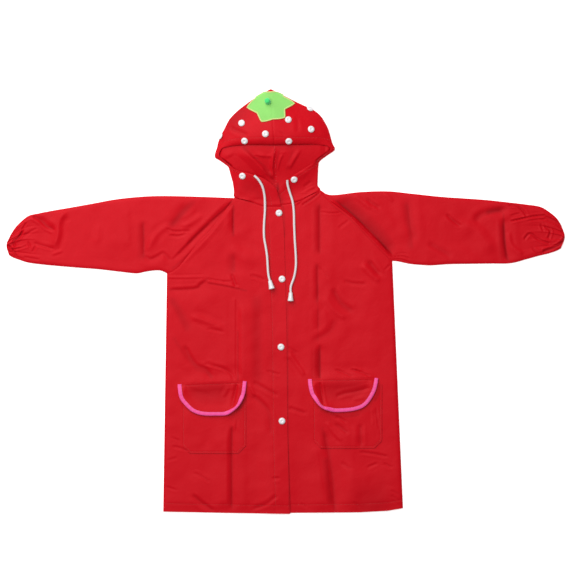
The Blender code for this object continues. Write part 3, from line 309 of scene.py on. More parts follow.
PACKING = table(
    # down the right front
    (8.5, 16.5, -1.9, 1, (-96, 120), (-96, 177.5)),
    (11, 20.5, -0.9, 0.6, (-95.5, 46), (-95.5, 94.5)),
    (7.5, 3, 0.8, 1, (-93, -144.5), (-93, 7.5)),
    (6.5, 15, -1.7, 1, (-98, -390.5), (-98, -229.5)),
    (26, 9, 1.4, 0, (-111, -390.5), (-111, -238.5)),
    # down the left front
    (7.5, 16.5, -1.7, 1, (64, 83), (64, 181.5)),
    (7.5, 16.5, -1.5, 1, (60.5, -3.5), (60.5, 72)),
    (9, 9, -1.2, 1, (62, -59), (62, -11)),
    (6.5, 18.5, -2, 1, (64.5, -150), (64.5, -76)),
    (22, 11, 1.3, 0, (48, -150), (48, -76)),
    (8.5, 26, -2.2, 1, (92.5, -394), (87.5, -335), (81.5, -288.5), (77.5, -268), (72, -237)),
    (26, 11, 1.5, 0, (74, -390.5), (63, -312.5), (55.5, -257)),
)
BILLOWS = table(
    # broad rises of the body cloth
    (11, 35, 2.4, 0.1, (-77.5, -153.5), (-77.5, 5.5)),
    (15, 18.5, 2, 0.2, (-194, -152.5), (-135, -150), (-74, -147)),
    (15, 18.5, 2, 0.2, (44.5, -144.5), (111, -143.5), (170, -141.5)),
    (22, 52, 2.1, 0, (131.5, -377.5), (124, -335), (139, -294)),
    (16.5, 16.5, 1.3, 0, (-113, 100), (-74, 83), (-39, 72)),
    (9, 9, 1.4, 0, (139, 70.5), (157, 53.5), (177.5, 33.5)),
    (26, 26, 0.9, 0, (-157, -377.5), (-157, -312.5)),
)
CREASES = table(
    # raglan seams
    (6.5, 13, -1.5, 0.8, (-183, 101), (-162, 122), (-139, 143.5), (-115.5, 164.5), (-96, 185)),
    (3.5, 7.5, -0.8, 0.7, (-209, 75), (-183, 101), (-162, 122), (-139, 143.5)),
    (16.5, 7.5, 1.1, 0.2, (-207, 83), (-177.5, 114.5), (-151.5, 142.5), (-127.5, 168.5),
     (-109, 185)),
    (3, 5.5, 0.5, 1, (-187, 70.5), (-157, 102), (-131.5, 129.5), (-94.5, 177.5)),
    (3.5, 2.5, 1.6, 1, (85, 186), (122, 158), (161, 120), (197, 82.5)),
    (28, 4.5, -2.8, 0.9, (91.5, 188), (126, 160), (153.5, 133), (179.5, 106.5), (201.5, 84)),
    # right front
    (3.5, 2, 0.9, 0.6, (-85, 194), (-61, 186), (-39, 179.5)),
    (3.5, 3, 1, 1, (-218.5, 44), (-183, 44), (-148, 45)),
    (4.5, 22, -1.7, 0.9, (-218.5, 20.5), (-166.5, 23), (-157, 29.5), (-140.5, 42.5)),
    (3, 3.5, 1, 1, (-144.5, 36.5), (-113, 31.5), (-81.5, 25)),
    (3, 2, -0.8, 1, (-146, 41.5), (-113, 36), (-96, 37)),
    (5.5, 3.5, -1.5, 0.6, (-89, 24), (-93.5, 37), (-99, 52)),
    (4.5, 4, -0.9, 0.3, (-66.5, 47), (-52, 44.5), (-37, 38)),
    (16.5, 13, -1, 0, (-216.5, 9), (-200, -9), (-187, -31.5), (-172, -59)),
    (9, 7.5, 1.3, 0.3, (-176, -28), (-146, -37), (-113, -52)),
    (4, 3, -0.7, 0.7, (-146, -52), (-127.5, -54.5), (-111, -58.5)),
    (6.5, 13, -1.4, 0.2, (-187, -79.5), (-176, -102), (-163, -120), (-146, -126), (-132.5, -146)),
    (5.5, 3, -1.3, 0.9, (-150, -115.5), (-129.5, -121), (-113, -126), (-99, -137), (-95.5, -148)),
    (6, 5.5, -0.9, 0.3, (-61, -149), (-35, -163.5), (-11, -176)),
    (4.5, 4.5, 0.9, 0.3, (-66.5, -153.5), (-61, -164.5), (-55.5, -177.5)),
    (3.5, 3.5, -0.8, 0.4, (-35, -128.5), (-22, -133), (-7.5, -136)),
    (6.5, 12, -1.1, 0.1, (-65, -172), (-44.5, -187), (-29.5, -207), (-25, -250)),
    (3, 2.5, -0.8, 0.6, (-90.5, -244), (-88, -218.5)),
    (3.5, 3, -0.7, 0.5, (-211, -251.5), (-194, -260)),
    (3.5, 3.5, -0.9, 0.6, (-209, -269), (-194, -272), (-181.5, -277.5)),
    (5, 8, -1.5, 0.5, (-172, -357), (-153.5, -373.5), (-129.5, -389.5)),
    (6, 4, -1.1, 0.3, (-61, -385), (-37, -377.5), (-13, -359)),
    (4, 4, -0.7, 0.3, (-170, -317.5), (-155.5, -324), (-139, -335)),
    (3, 5.5, -0.9, 0.5, (-26, -327.5), (-7.5, -327)),
    (3.5, 3, -0.7, 0.5, (-222, -343), (-200, -350.5)),
    (3.5, 3.5, -0.5, 0.3, (-220, -296), (-198, -289.5)),
    # left front
    (3.5, 2.5, -1.3, 1, (30.5, 176), (42.5, 184), (54, 192), (66.5, 203)),
    (3, 3, 0.9, 0.8, (18.5, 178.5), (37, 191.5), (53.5, 202.5)),
    (3.5, 4.5, -0.6, 0.4, (98, 134), (109, 142.5), (120, 151)),
    (3, 2, -0.8, 0.8, (65.5, 164.5), (83, 162), (102, 163)),
    (4.5, 5.5, -0.9, 0.3, (107.5, 38), (126, 32.5), (151.5, 31.5)),
    (7.5, 10, -1.6, 0.15, (153.5, 77), (164.5, 61), (177.5, 44.5)),
    (3, 3, -0.9, 0.6, (184, 56.5), (196, 68.5)),
    (2.5, 3, -0.7, 0.6, (64, 63), (70.5, 53.5), (79.5, 42.5)),
    (9, 11, -1.7, 0.15, (87, 26), (103.5, -3.5), (129.5, -22)),
    (7.5, 7.5, 1, 0.1, (72, 9), (89, -16.5), (113, -33.5)),
    (8.5, 16.5, -1, 0.3, (44.5, -75), (70.5, -64), (85, -52), (93.5, -29.5)),
    (5.5, 8, 1.4, 0.3, (5.5, -95.5), (22, -116.5), (37, -139)),
    (3.5, 3.5, -0.7, 0.4, (5.5, -84), (24, -98)),
    (3, 2.5, -1.7, 1, (92.5, -126.5), (109, -133), (126, -140.5)),
    (3, 2.5, -1.9, 1, (122, -126.5), (139, -131.5), (157, -139)),
    (2.5, 2.5, 0.7, 0.6, (126, -123.5), (146, -128.5)),
    (3.5, 4, -1.1, 0.6, (92.5, -213), (103.5, -217.5), (114.5, -225)),
    (6, 6, -1.3, 0.3, (90.5, -225.5), (103.5, -235), (118.5, -247)),
    (5.5, 5.5, 0.9, 0.1, (76, -222), (90.5, -242.5), (107.5, -259)),
    (8.5, 6, -1.4, 0.1, (141, -272), (139.5, -225.5)),
    (2.5, 2.5, 0.9, 0.7, (163, -229.5), (161, -198)),
    (3, 2.5, -1.1, 0.8, (174, -238.5), (168.5, -196)),
    (4, 3.5, -1.1, 0.5, (137, -279.5), (164.5, -283), (190.5, -288.5)),
    (3, 4, -1, 0.5, (151.5, -308), (172, -299.5)),
    (3, 5, -1, 0.5, (181.5, -299), (200, -309)),
    (2.5, 2.5, -0.9, 0.6, (196, -349.5), (214.5, -360)),
    (2.5, 2.5, -0.9, 0.6, (195, -359), (213, -371)),
    (2.5, 2.5, -0.9, 0.6, (198, -367), (214.5, -380)),
    (5, 5, -1, 0.2, (5.5, -197), (22, -202.5), (40.5, -209)),
    (3.5, 3.5, -0.7, 0.4, (126, -370), (139, -383)),
    (3.5, 3.5, -0.6, 0.4, (28, -373.5), (40.5, -383)),
    (4.5, 4.5, -0.6, 0.1, (102, -298), (124, -312.5)),
    # right sleeve
    (13, 15, -1.3, 0.1, (-214.5, 134), (-203.5, 145), (-192.5, 163), (-174, 183)),
    (3.5, 3, -1.2, 0.8, (-219, 135), (-205.5, 128.5), (-174, 129.5)),
    (3.5, 3.5, -1, 0.6, (-215.5, 122), (-198, 119.5), (-179.5, 126.5)),
    (7.5, 7.5, 1.3, 0.2, (-194, 137), (-176, 143.5), (-151.5, 161)),
    (7.5, 13, -1.3, 0.8, (-261.5, 77.5), (-261.5, 113), (-262.5, 151.5)),
    (4.5, 9, -1, 0.4, (-261, 86), (-250, 77.5), (-235, 83), (-224, 88), (-210, 72)),
    (7.5, 7.5, 0.9, 0.2, (-254.5, 90.5), (-246, 111), (-231, 129.5), (-213, 140.5)),
    (11, 9, 0.7, 0, (-349.5, 102), (-344, 146)),
    (11, 9, 0.6, 0, (-290.5, 98), (-294, 172)),
    # right wrist
    (18.5, 8.5, 2.7, 0.5, (-429, 94.5), (-420, 122), (-418.5, 142.5), (-412.5, 157), (-398, 166.5)),
    (9, 5, -2.5, 0.7, (-470, 159), (-453, 150), (-438.5, 137), (-423.5, 131.5)),
    (3.5, 3, -0.8, 0.8, (-482, 118.5), (-472, 127.5), (-457, 135)),
    (2.5, 2.5, -1.3, 0.8, (-501.5, 95.5), (-490, 98), (-477.5, 102)),
    (2.5, 2.5, -1.4, 0.6, (-505, 96), (-496, 82.5)),
    (3, 3, -2.5, 0.5, (-505, 111), (-492, 117.5), (-484, 133)),
    (3, 3, -2.1, 0.5, (-498.5, 98), (-503, 113)),
    (3, 3, -1.7, 0.5, (-514.5, 103.5), (-500.5, 93.5)),
    (5, 3.5, -1.2, 0.7, (-466, 108), (-442, 100), (-425.5, 96)),
    (3, 3, -1.2, 0.6, (-471, 96), (-475.5, 111)),
    (3, 3, -1.2, 0.6, (-467, 89.5), (-460.5, 103.5)),
    (4, 4, 0.9, 0.3, (-433, 86), (-410.5, 93.5)),
    (2.5, 2.5, -1, 0.5, (-486.5, 131.5), (-477.5, 146)),
    (3.5, 3, -0.8, 0.3, (-484.5, 81.5), (-453, 76)),
    # left sleeve
    (13, 13, -1.1, 0.3, (241.5, 107.5), (235, 127.5), (229.5, 159), (226.5, 194)),
    (5.5, 5.5, -1.1, 0.1, (150, 190.5), (163, 179.5), (177.5, 171)),
    (5.5, 5.5, 0.8, 0.1, (127.5, 196), (146, 181.5), (159, 168.5)),
    (5.5, 5.5, 0.7, 0.1, (183, 200), (201.5, 183)),
    (2, 2, -0.9, 0.7, (200, 77.5), (213, 77), (229.5, 72)),
    (2, 2, -0.8, 0.7, (200.5, 81.5), (216.5, 82.5), (231, 78.5)),
    (2, 2, -0.6, 0.7, (202.5, 85), (218.5, 89), (227.5, 87)),
    (9, 8.5, -1, 0, (262.5, 109), (287, 94.5), (311, 81.5)),
    (5, 5, -1.5, 0.5, (298, 162), (311, 149), (327.5, 137)),
    (16.5, 22, 2.1, 0.25, (314.5, 142.5), (351.5, 131.5), (375.5, 102), (392, 87)),
    # left wrist
    (7.5, 15, -1.8, 0.9, (413, 70.5), (407, 103.5), (405, 131.5), (404, 157)),
    (9, 11, -1.4, 0.1, (348, 142.5), (361, 159), (377.5, 165.5), (401.5, 168.5), (409, 177.5)),
    (4, 3, -1.8, 0.6, (412.5, 177), (429, 176), (440.5, 166.5), (447.5, 156.5)),
    (2.5, 2.5, -1.1, 0.7, (417, 157.5), (435, 162.5)),
    (2.5, 3, -1.8, 1, (417, 147.5), (444, 153.5), (462.5, 157), (483, 158.5)),
    (2.5, 2.5, 0.8, 0.7, (420, 151.5), (446, 156.5)),
    (2.5, 2.5, -1, 0.8, (447.5, 148.5), (483, 151.5)),
    (3, 3, -1.8, 0.7, (442, 113), (451.5, 124), (459, 122), (468, 114.5), (477.5, 111),
     (491, 105.5)),
    (3, 3, -1.8, 0.5, (486.5, 114.5), (491, 129.5), (479, 139)),
    (3, 3, -1.1, 0.5, (479, 127.5), (472.5, 144.5)),
    (3.5, 4, -2.6, 0.5, (475.5, 91.5), (499.5, 100), (514.5, 111), (521, 122)),
    (3, 3, -1.8, 0.5, (479, 156.5), (499.5, 148), (510.5, 141.5)),
    (3, 3, -1.1, 0.5, (457, 98), (472, 85)),
    (5.5, 7.5, 1, 0.2, (413.5, 129.5), (419, 102), (442, 86)),
    (2.5, 2.5, -1.4, 0.5, (509, 129.5), (521.5, 126)),
)
HOOD_CREASES = table(
    # on the outside
    (11, 20.5, 2, 0.1, (-85, 187), (-89, 235)),
    (15, 11, -1.2, 0.1, (-46, 179.5), (-52, 225.5)),
    (6, 6, -1, 0.05, (-103.5, 321), (-85, 312.5), (-66.5, 304.5)),
    (6.5, 5.5, -0.7, 0.05, (24, 309), (22, 342)),
    (3.5, 3.5, -0.7, 0.4, (-11, 313.5), (2, 304.5)),
    (3, 3, 0.9, 0.6, (24, 192.5), (39, 203.5), (55.5, 212)),
    (4.5, 4.5, -0.7, 0.2, (33.5, 209), (50, 222)),
    (5.5, 5.5, 0.6, 0.1, (-109, 218.5), (-98, 231)),
)
HOOD_BACK_CREASES = table(
    # on the back layer, seen through the face opening
    (9, 5.5, 3, 0.8, (-22, 224), (-23, 251.5), (-20.5, 272), (-16.5, 294)),
    (5, 3.5, 1.5, 0.6, (-15, 238.5), (-11, 255.5), (-3, 274)),
    (6.5, 18.5, 3.6, 0.5, (-87, 287), (-65, 268), (-40.5, 242.5), (-24, 227.5)),
    (11, 3.5, 1.9, 0.6, (-63, 271.5), (-42.5, 268), (-22, 267.5)),
    (9, 5.5, 2, 0.3, (5.5, 242.5), (18.5, 264.5), (29.5, 283)),
    (5.5, 3, 1, 0.6, (-13, 274.5), (5.5, 274.5)),
    (11, 9, 1.4, 0.1, (-116.5, 264.5), (-90.5, 279.5)),
)
FLAP_CREASES = table(
    # right flap
    (5.5, 4, -1.4, 0.6, (-99, -200), (-92.5, -174), (-89, -151.5)),
    (5.5, 9, -0.3, 0.1, (-188.5, -157), (-163, -166.5), (-133, -175)),
    (5.5, 5.5, 0.8, 0.1, (-116.5, -179.5), (-103.5, -157)),
    # left flap
    (6, 4, -1.7, 0.8, (74, -203.5), (68.5, -177.5), (64, -148)),
    (5, 5, 1, 0.3, (60, -183), (51, -151.5)),
    (5.5, 4.5, -1, 0.6, (92.5, -177.5), (111, -171), (129.5, -167.5), (159, -160)),
    (6.5, 5.5, 0.8, 0.1, (124, -183), (150, -176)),
)
BODY_PAINTED_SHADE = table(
    # painted shade on body, sleeves and pockets: dark bands put into the cloth's colour along its
    # folds; height is how much
    (29.5, 3.5, 2.4, 0.6, (92.5, 187), (102, 180), (134, 152.5), (166.5, 122), (196, 83)),
    (2, 2, 1.3, 0.8, (81.5, 180.5), (120, 151.5), (159, 112), (194, 76)),
    (3, 2.5, 1.6, 0.6, (33.5, 175), (48, 187), (65.5, 201)),
    (2.5, 3, 0.9, 0.5, (-200.5, 86), (-162, 125), (-139, 146), (-115.5, 167.5), (-96, 187)),
    (3.5, 3.5, 1.1, 0.4, (-139, 146), (-115.5, 167.5), (-96, 187)),
    (4.5, 4.5, 0.9, 0.2, (-211, 57.5), (-194, 72), (-176, 89)),
    (3.5, 3, 2, 0.5, (-511.5, 101), (-499.5, 111), (-484, 130.5)),
    (2, 2, 1.5, 0.5, (-512.5, 105.5), (-503, 94.5), (-496, 85)),
    (3.5, 2, 1.8, 0.5, (473.5, 90), (499.5, 99), (514.5, 110), (521, 121)),
    (5.5, 2, 1.3, 0.5, (414, 72), (408.5, 103.5), (406.5, 131.5), (405, 164.5)),
    (18.5, 2, 0.9, 0.3, (-261, 70.5), (-261, 150)),
    (9, 9, 1, 0, (-216.5, 135), (-201.5, 150), (-183, 170), (-164.5, 188.5)),
    (16.5, 3.5, 1, 0.3, (237, 90.5), (230.5, 140.5), (225.5, 187)),
    (2, 4.5, 1.5, 0.4, (-1, 116.5), (-2, 159), (-5.5, 179.5)),
    (18.5, 1.5, 1, 0.3, (64, 83), (64, 187)),
    (9, 1.5, 1.1, 0.3, (60, -7.5), (60, 72)),
    (26, 2, 1.8, 0.8, (65, -153.5), (65, -81.5)),
    (3.5, 1.5, 0.8, 0.5, (61.5, -76), (61, 33.5)),
    (11, 9, 0.6, 0, (-216.5, 9), (-201.5, -13), (-187, -44.5), (-176, -61)),
    (7.5, 6.5, 0.6, 0.2, (-209, -63), (-190.5, -92.5), (-176, -111), (-161, -127.5),
     (-146, -131.5), (-133, -146)),
    (16.5, 15, 1, 0, (-52, -157), (-52, 16.5)),
    (16.5, 16.5, 0.4, 0, (-28, -157), (-28, 9)),
    (3.5, 3, 1.6, 0.8, (-144.5, 33.5), (-113, 28), (-90.5, 23), (-68.5, 18.5)),
    (7.5, 1.5, 1.6, 0.5, (-94.5, 116.5), (-94.5, 181.5)),
    (22, 2, 0.8, 0.2, (-93.5, 44.5), (-93.5, 94.5)),
    (2, 3, 1.8, 0.8, (-89, 192), (-65, 183), (-39, 176)),
    (3, 2.5, 1.3, 0.6, (-87, -153.5), (-87, -53.5)),
    (9, 1.5, 1, 0.5, (-98, -383), (-98, -227.5)),
    (15, 1.5, 1.4, 0.4, (87.5, -379), (82, -331), (77.5, -285)),
    (9, 1.5, 0.8, 0.3, (76, -279.5), (70.5, -229.5)),
    (81.5, 11, 0.9, 0, (111, -385), (211, -381)),
    (1.5, 3.5, 1.5, 0.5, (7, -388.5), (5.5, -229.5), (4.5, -3.5)),
    (7.5, 5.5, 2.4, 0.3, (-90.5, -205.5), (-76, -187), (-70.5, -166.5)),
    (4.5, 4.5, 2, 0.3, (164.5, -187), (173, -170), (175, -150)),
    (3.5, 5.5, 1.2, 0.2, (83, -208), (111, -213), (140.5, -209)),
    (18.5, 2, 1.6, 0.4, (410.5, 72), (407, 103.5), (404, 150)),
    (9, 7.5, 1.8, 0.1, (368, 161), (386.5, 167.5), (405, 169.5)),
)
HOOD_PAINTED_SHADE = table(
    # painted shade on the hood
    (4.5, 5.5, 1.5, 0.4, (-81.5, 287), (-53.5, 262.5), (-35, 246), (-22, 231)),
    (2, 2, 1.4, 0.5, (-22, 233), (-20.5, 264.5), (-18.5, 285)),
    (3, 3, 1.2, 0.4, (-18.5, 231), (-15, 255.5), (-11, 279.5)),
    (4.5, 4.5, 0.8, 0.2, (2, 238.5), (9, 261), (15, 279.5)),
    (2, 3, 1.2, 0.5, (-61, 265.5), (-42.5, 263.5), (-26, 264.5)),
    (5.5, 5.5, 1.6, 0.3, (-42.5, 246), (-28, 231), (-15, 216.5)),
    (3.5, 3.5, 1.5, 0.3, (-13, 187), (-13, 222)),
    (24, 24, 0.8, 0, (-66.5, 192.5), (-66.5, 231)),
    (44.5, 44.5, 1.5, 0, (-105.5, 299.5), (-90.5, 348), (-61, 379)),
    (2, 7.5, 1.8, 0.4, (-4.5, 176), (-9, 192.5), (-16.5, 218.5)),
)
FLAP_PAINTED_SHADE = table(
    # painted shade on the flaps
    (18.5, 40.5, 1.2, 0, (-194, -164.5), (-139, -163), (-87, -161)),
    (18.5, 40.5, 0.9, 0, (44.5, -164.5), (111, -157), (164.5, -153.5)),
)
CLOTH_LOW = 2.0  # the upper cloth never sinks lower than this, over the cloth under it
LOW_ROUND = 0.3
CREASE_END = 1.3  # a crease fades out over its mean width, times this,
CREASE_END_SHARE = 0.4  # but over this share of its length at the most
SHOULDER = 0.3  # the cloth swells the other way beside a crease, by this share of it
SHOULDER_START = 0.5  # from and to these many widths of its wall
SHOULDER_END = 2.2

# --- Curves, folds and heights, on arrays of points ---


def ease(t):
    """Smooth step from 0 to 1."""
    t = np.clip(t, 0.0, 1.0)
    return t * t * (3 - 2 * t)


def smooth_rows(rows, at):
    """Points at fractional rows, on smooth curves that pass through every row."""
    rows = np.asarray(rows, float)
    at = np.atleast_1d(np.asarray(at, float))
    last = len(rows) - 1
    index = np.clip(at.astype(int), 0, last - 1)
    t = (at - index).reshape((-1,) + (1,) * (rows.ndim - 1))
    a = rows[np.maximum(index - 1, 0)]
    b = rows[index]
    c = rows[index + 1]
    d = rows[np.minimum(index + 2, last)]
    return b + 0.5 * t * (c - a + t * (2 * a - 5 * b + 4 * c - d + t * (3 * (b - c) + d - a)))


def distances(points, axis=0):
    """How far along one axis of a grid each of its points stands."""
    runs = np.linalg.norm(np.diff(points, axis=axis), axis=-1)
    return np.insert(np.cumsum(runs, axis=axis), 0, 0.0, axis=axis)


def along(route, shares):
    """Points at shares of the length of a smooth curve through a route."""
    route = np.asarray(route, float)
    reach = distances(route)
    at = np.interp(np.atleast_1d(shares) * reach[-1], reach, np.arange(len(route)))
    return smooth_rows(route, at)


def line_x(line, y):
    """The x of a line of straight runs at each y."""
    rows = np.array(sorted(line, key=lambda point: point[1]))
    return np.interp(y, rows[:, 1], rows[:, 0])


def line_y(line, x):
    """The y of a line of straight runs at each x."""
    rows = np.array(sorted(line))
    return np.interp(x, rows[:, 0], rows[:, 1])


def bent(route):
    """A route with its corners rounded, as more and shorter straight runs."""
    if len(route) == 2:
        return np.asarray(route, float)
    return along(route, np.linspace(0, 1, 4 * len(route) - 3))


def beside(route, x, y):
    """Points beside a route of straight runs: distance, hand, way along it, its length.

    The hand is 1 to the left of the route and -1 to its right.
    """
    best = np.full(np.shape(x), np.inf)
    hand, best_along = np.ones(np.shape(x)), np.zeros(np.shape(x))
    gone = 0.0
    for (ax, ay), (bx, by) in zip(route[:-1], route[1:]):
        dx, dy = bx - ax, by - ay
        run = math.hypot(dx, dy)
        t = np.clip(((x - ax) * dx + (y - ay) * dy) / run**2, 0, 1)
        distance = np.hypot(x - ax - t * dx, y - ay - t * dy)
        closer = distance < best
        best = np.where(closer, distance, best)
        hand = np.where(closer, np.sign(dx * (y - ay) - dy * (x - ax)), hand)
        best_along = np.where(closer, gone + t * run, best_along)
        gone += run
    return best, hand, best_along, gone


def relief(x, y, creases):
    """Height that the creases add at each point; a crease fades out at its ends."""
    x, y = np.broadcast_arrays(np.asarray(x, float), np.asarray(y, float))
    total = np.zeros(x.shape)
    for crease in creases:
        route = bent(crease.route)
        reach = max(crease.left, crease.right) * SHOULDER_END
        low, high = route.min(axis=0) - reach, route.max(axis=0) + reach
        near = (x > low[0]) & (x < high[0]) & (y > low[1]) & (y < high[1])
        if not near.any():
            continue
        distance, hand, gone, length = beside(route, x[near], y[near])
        way = distance * np.abs(hand) / np.where(distance * hand > 0, crease.left, crease.right)
        side = np.clip(1 - way, 0, 1)
        end = min(CREASE_END * (crease.left + crease.right) / 2, CREASE_END_SHARE * length)
        fade = ease(np.minimum(gone, length - gone) / end)
        shape = crease.edge * side**2 + (1 - crease.edge) * ease(side)
        over = np.clip((way - SHOULDER_START) / (SHOULDER_END - SHOULDER_START), 0, 1)
        shape = shape - SHOULDER * np.sin(np.pi * over) ** 2
        total[near] += crease.height * fade * shape
    return total


def groove(distance, kind):
    """A soft narrow dip along a line, as stitching or a seam draws the cloth in."""
    reach, depth = kind
    return -depth * ease(1 - distance / reach)


def swell(x, y, kind):
    """Smooth uneven rise and fall, its bumps about one size across."""
    lattice = np.random.default_rng(kind.seed).uniform(-1, 1, (64, 64))
    u, v = np.asarray(x) / kind.size + 31.5, np.asarray(y) / kind.size + 31.5
    i, j = np.floor(u).astype(int), np.floor(v).astype(int)
    s, t = ease(u - i), ease(v - j)
    near = lattice[i % 64, j % 64] * (1 - s) + lattice[(i + 1) % 64, j % 64] * s
    far = lattice[i % 64, (j + 1) % 64] * (1 - s) + lattice[(i + 1) % 64, (j + 1) % 64] * s
    return kind.height * (near * (1 - t) + far * t)


def unit(vectors):
    """Vectors of the same directions, each of length 1."""
    return vectors / np.linalg.norm(vectors, axis=-1, keepdims=True)


def sleeve_plan(side, at, across):
    """Plan points of a sleeve at one fractional section, across it from top to low edge."""
    out = -1 if side == "right" else 1
    points = []
    for index, s in enumerate(SLEEVES[side]):
        run = np.array((s.low_x - s.top_x, s.low_y - s.top_y))
        if index == 0:
            line = along(RAGLAN[side], across)
            shift = np.full(len(across), SEAM_STEP)
        else:
            line = np.array((s.top_x, s.top_y)) + np.outer(across, run)
            shift = s.bow * np.sin(np.pi * np.clip(across, 0, 1)) ** BOW_POWER
        outward = np.array((-out * run[1], out * run[0])) / np.linalg.norm(run)
        points.append(line + np.outer(shift, outward))
    return smooth_rows(points, at)[0]


def silhouette_lines():
    """The coat's folded and sewn side edges, as routes of straight runs."""
    lines = [np.array(SIDE_SEAM["right"]), np.array(SIDE_SEAM["left"])]
    for side in SIDES:
        ends = np.array((0.0, 1.0))
        steps = np.arange(0, len(SLEEVES[side]) - 0.75, 0.25)
        rows = np.array([sleeve_plan(side, at, ends) for at in steps])
        lines += [rows[:, 0], rows[:, 1]]
    return lines


SILHOUETTE = silhouette_lines()
RAGLAN_LINES = [along(RAGLAN[side], np.linspace(0, 1, 15)) for side in SIDES]
NECK_LINES = [along(NECK_SEAM[side], np.linspace(0, 1, 11)) for side in SIDES]


def hem_y(x):
    """The fronts' hem line, as y against x."""
    middle = OVERLAP_EDGE[-1][0]
    return np.where(x < middle, line_y(HEM["right"], x), line_y(HEM["left"], x))


def cloth_form(x, y):
    """Height of the upper cloth's broad form, away from its edges."""
    form = relief(x, y, PACKING) + relief(x, y, BILLOWS)
    return FLAT_TOP + form + swell(x, y, BROAD_SWELL)


def cloth_top(x, y):
    """Height of the upper cloth's outer face over the body and the sleeves."""
    edge = np.min([beside(line, x, y)[0] for line in SILHOUETTE], axis=0)
    rise = np.sqrt(1 - (1 - np.minimum(edge / EDGE_ROUND, 1)) ** 2)
    hem = HEM_DROP * (1 - ease((y - hem_y(x)) / HEM_ROUND))
    seam = np.min([beside(line, x, y)[0] for line in RAGLAN_LINES + NECK_LINES], axis=0)
    detail = relief(x, y, CREASES) + groove(seam, SEAM_GROOVE) + swell(x, y, SMALL_SWELL)
    above = cloth_form(x, y) - hem + detail - CLOTH_LOW
    body = CLOTH_LOW + 0.5 * (above + np.sqrt(above**2 + LOW_ROUND))
    return EDGE_TOP + rise * (body - EDGE_TOP)


def front_top(side, x, y):
    """Height of a front's outer face: the right one climbs over the left one."""
    top = cloth_top(x, y)
    top = top + groove(np.abs(y - hem_y(x) - HEM_STITCH), STITCH_GROOVE)
    if side == "right":
        beyond = line_x(OVERLAP_EDGE, y) - UNDERLAP - OVERLAP_MARGIN - x
        lap = LAP_RISE + LAP_HEM_RISE * ease((LAP_HEM_START - y) / LAP_HEM_RUN)
        top = top + lap * (1 - ease(beyond / OVERLAP_FADE))
        placket = np.abs(line_x(OVERLAP_EDGE, y) - PLACKET_STITCH - x)
        top = top + groove(placket, STITCH_GROOVE)
    return top


# --- Meshes ---


def new_object(name, data):
    """Put a mesh, curve, camera or light in the scene as an object."""
    thing = bpy.data.objects.new(name, data)
    bpy.context.scene.collection.objects.link(thing)
    return thing


def tidy_mesh(mesh, crease_angle=50):
    """Faces outward and smooth, with an edge only where the surface turns sharply."""
    shape = bmesh.new()
    shape.from_mesh(mesh)
    bmesh.ops.recalc_face_normals(shape, faces=shape.faces)
    shape.to_mesh(mesh)
    shape.free()
    mesh.shade_smooth()
    mesh.set_sharp_from_angle(angle=math.radians(crease_angle))


def add_cloth_map(mesh, uvs):
    """A UV map in metres, one point for each vertex, so that a weave keeps its size."""
    layer = mesh.uv_layers.new(name="cloth")
    corners = np.empty(len(mesh.loops), np.int32)
    mesh.loops.foreach_get("vertex_index", corners)
    layer.data.foreach_set("uv", (np.asarray(uvs)[corners] * MM).ravel())


def mean_reach(grid):
    """How far along the rows and down the columns each line of a grid stands."""
    down = np.linalg.norm(np.diff(grid, axis=0), axis=2).mean(axis=1)
    across = np.linalg.norm(np.diff(grid, axis=1), axis=2).mean(axis=0)
    return np.concatenate(([0], np.cumsum(down))), np.concatenate(([0], np.cumsum(across)))


def ring_faces(rows, columns):
    """Point numbers of closed rings, the next ones round them, and the faces between them."""
    index = np.arange(rows * columns).reshape(rows, columns)
    after = np.roll(index, -1, axis=1)
    quads = np.stack((index[:-1], after[:-1], after[1:], index[1:]), axis=-1).reshape(-1, 4)
    return index, after, quads


def shell(name, outside, inside, wrap=False):
    """Closed shell between two equal grids of points, with its rims joined."""
    outside, inside = np.asarray(outside, float), np.asarray(inside, float)
    rows, columns = outside.shape[:2]
    size = rows * columns
    points = np.concatenate((outside.reshape(-1, 3), inside.reshape(-1, 3))) * MM
    index = np.arange(size).reshape(rows, columns)
    after = np.roll(index, -1, axis=1)
    if not wrap:
        index, after = index[:, :-1], after[:, :-1]
    quads = [
        np.stack((index[:-1], after[:-1], after[1:], index[1:]), axis=-1).reshape(-1, 4),
        size + np.stack((index[:-1], index[1:], after[1:], after[:-1]), axis=-1).reshape(-1, 4),
    ]
    for i in (0, rows - 1):
        quads.append(np.stack((index[i], after[i], size + after[i], size + index[i]), axis=-1))
    if not wrap:
        for column in (index[:, 0], after[:, -1]):
            a, b = column[:-1], column[1:]
            quads.append(np.stack((a, b, size + b, size + a), axis=-1))
    mesh = bpy.data.meshes.new(name)
    mesh.from_pydata(points.tolist(), [], np.concatenate(quads).tolist())
    down, across = mean_reach(outside)
    v, u = np.meshgrid(down, across, indexing="ij")
    uvs = np.stack((u.ravel(), v.ravel()), axis=-1)
    add_cloth_map(mesh, np.concatenate((uvs, uvs)))
    tidy_mesh(mesh)
    return new_object(name, mesh)


def lowered(grid, depth):
    """A grid of points moved straight down."""
    return grid - np.array((0, 0, depth))


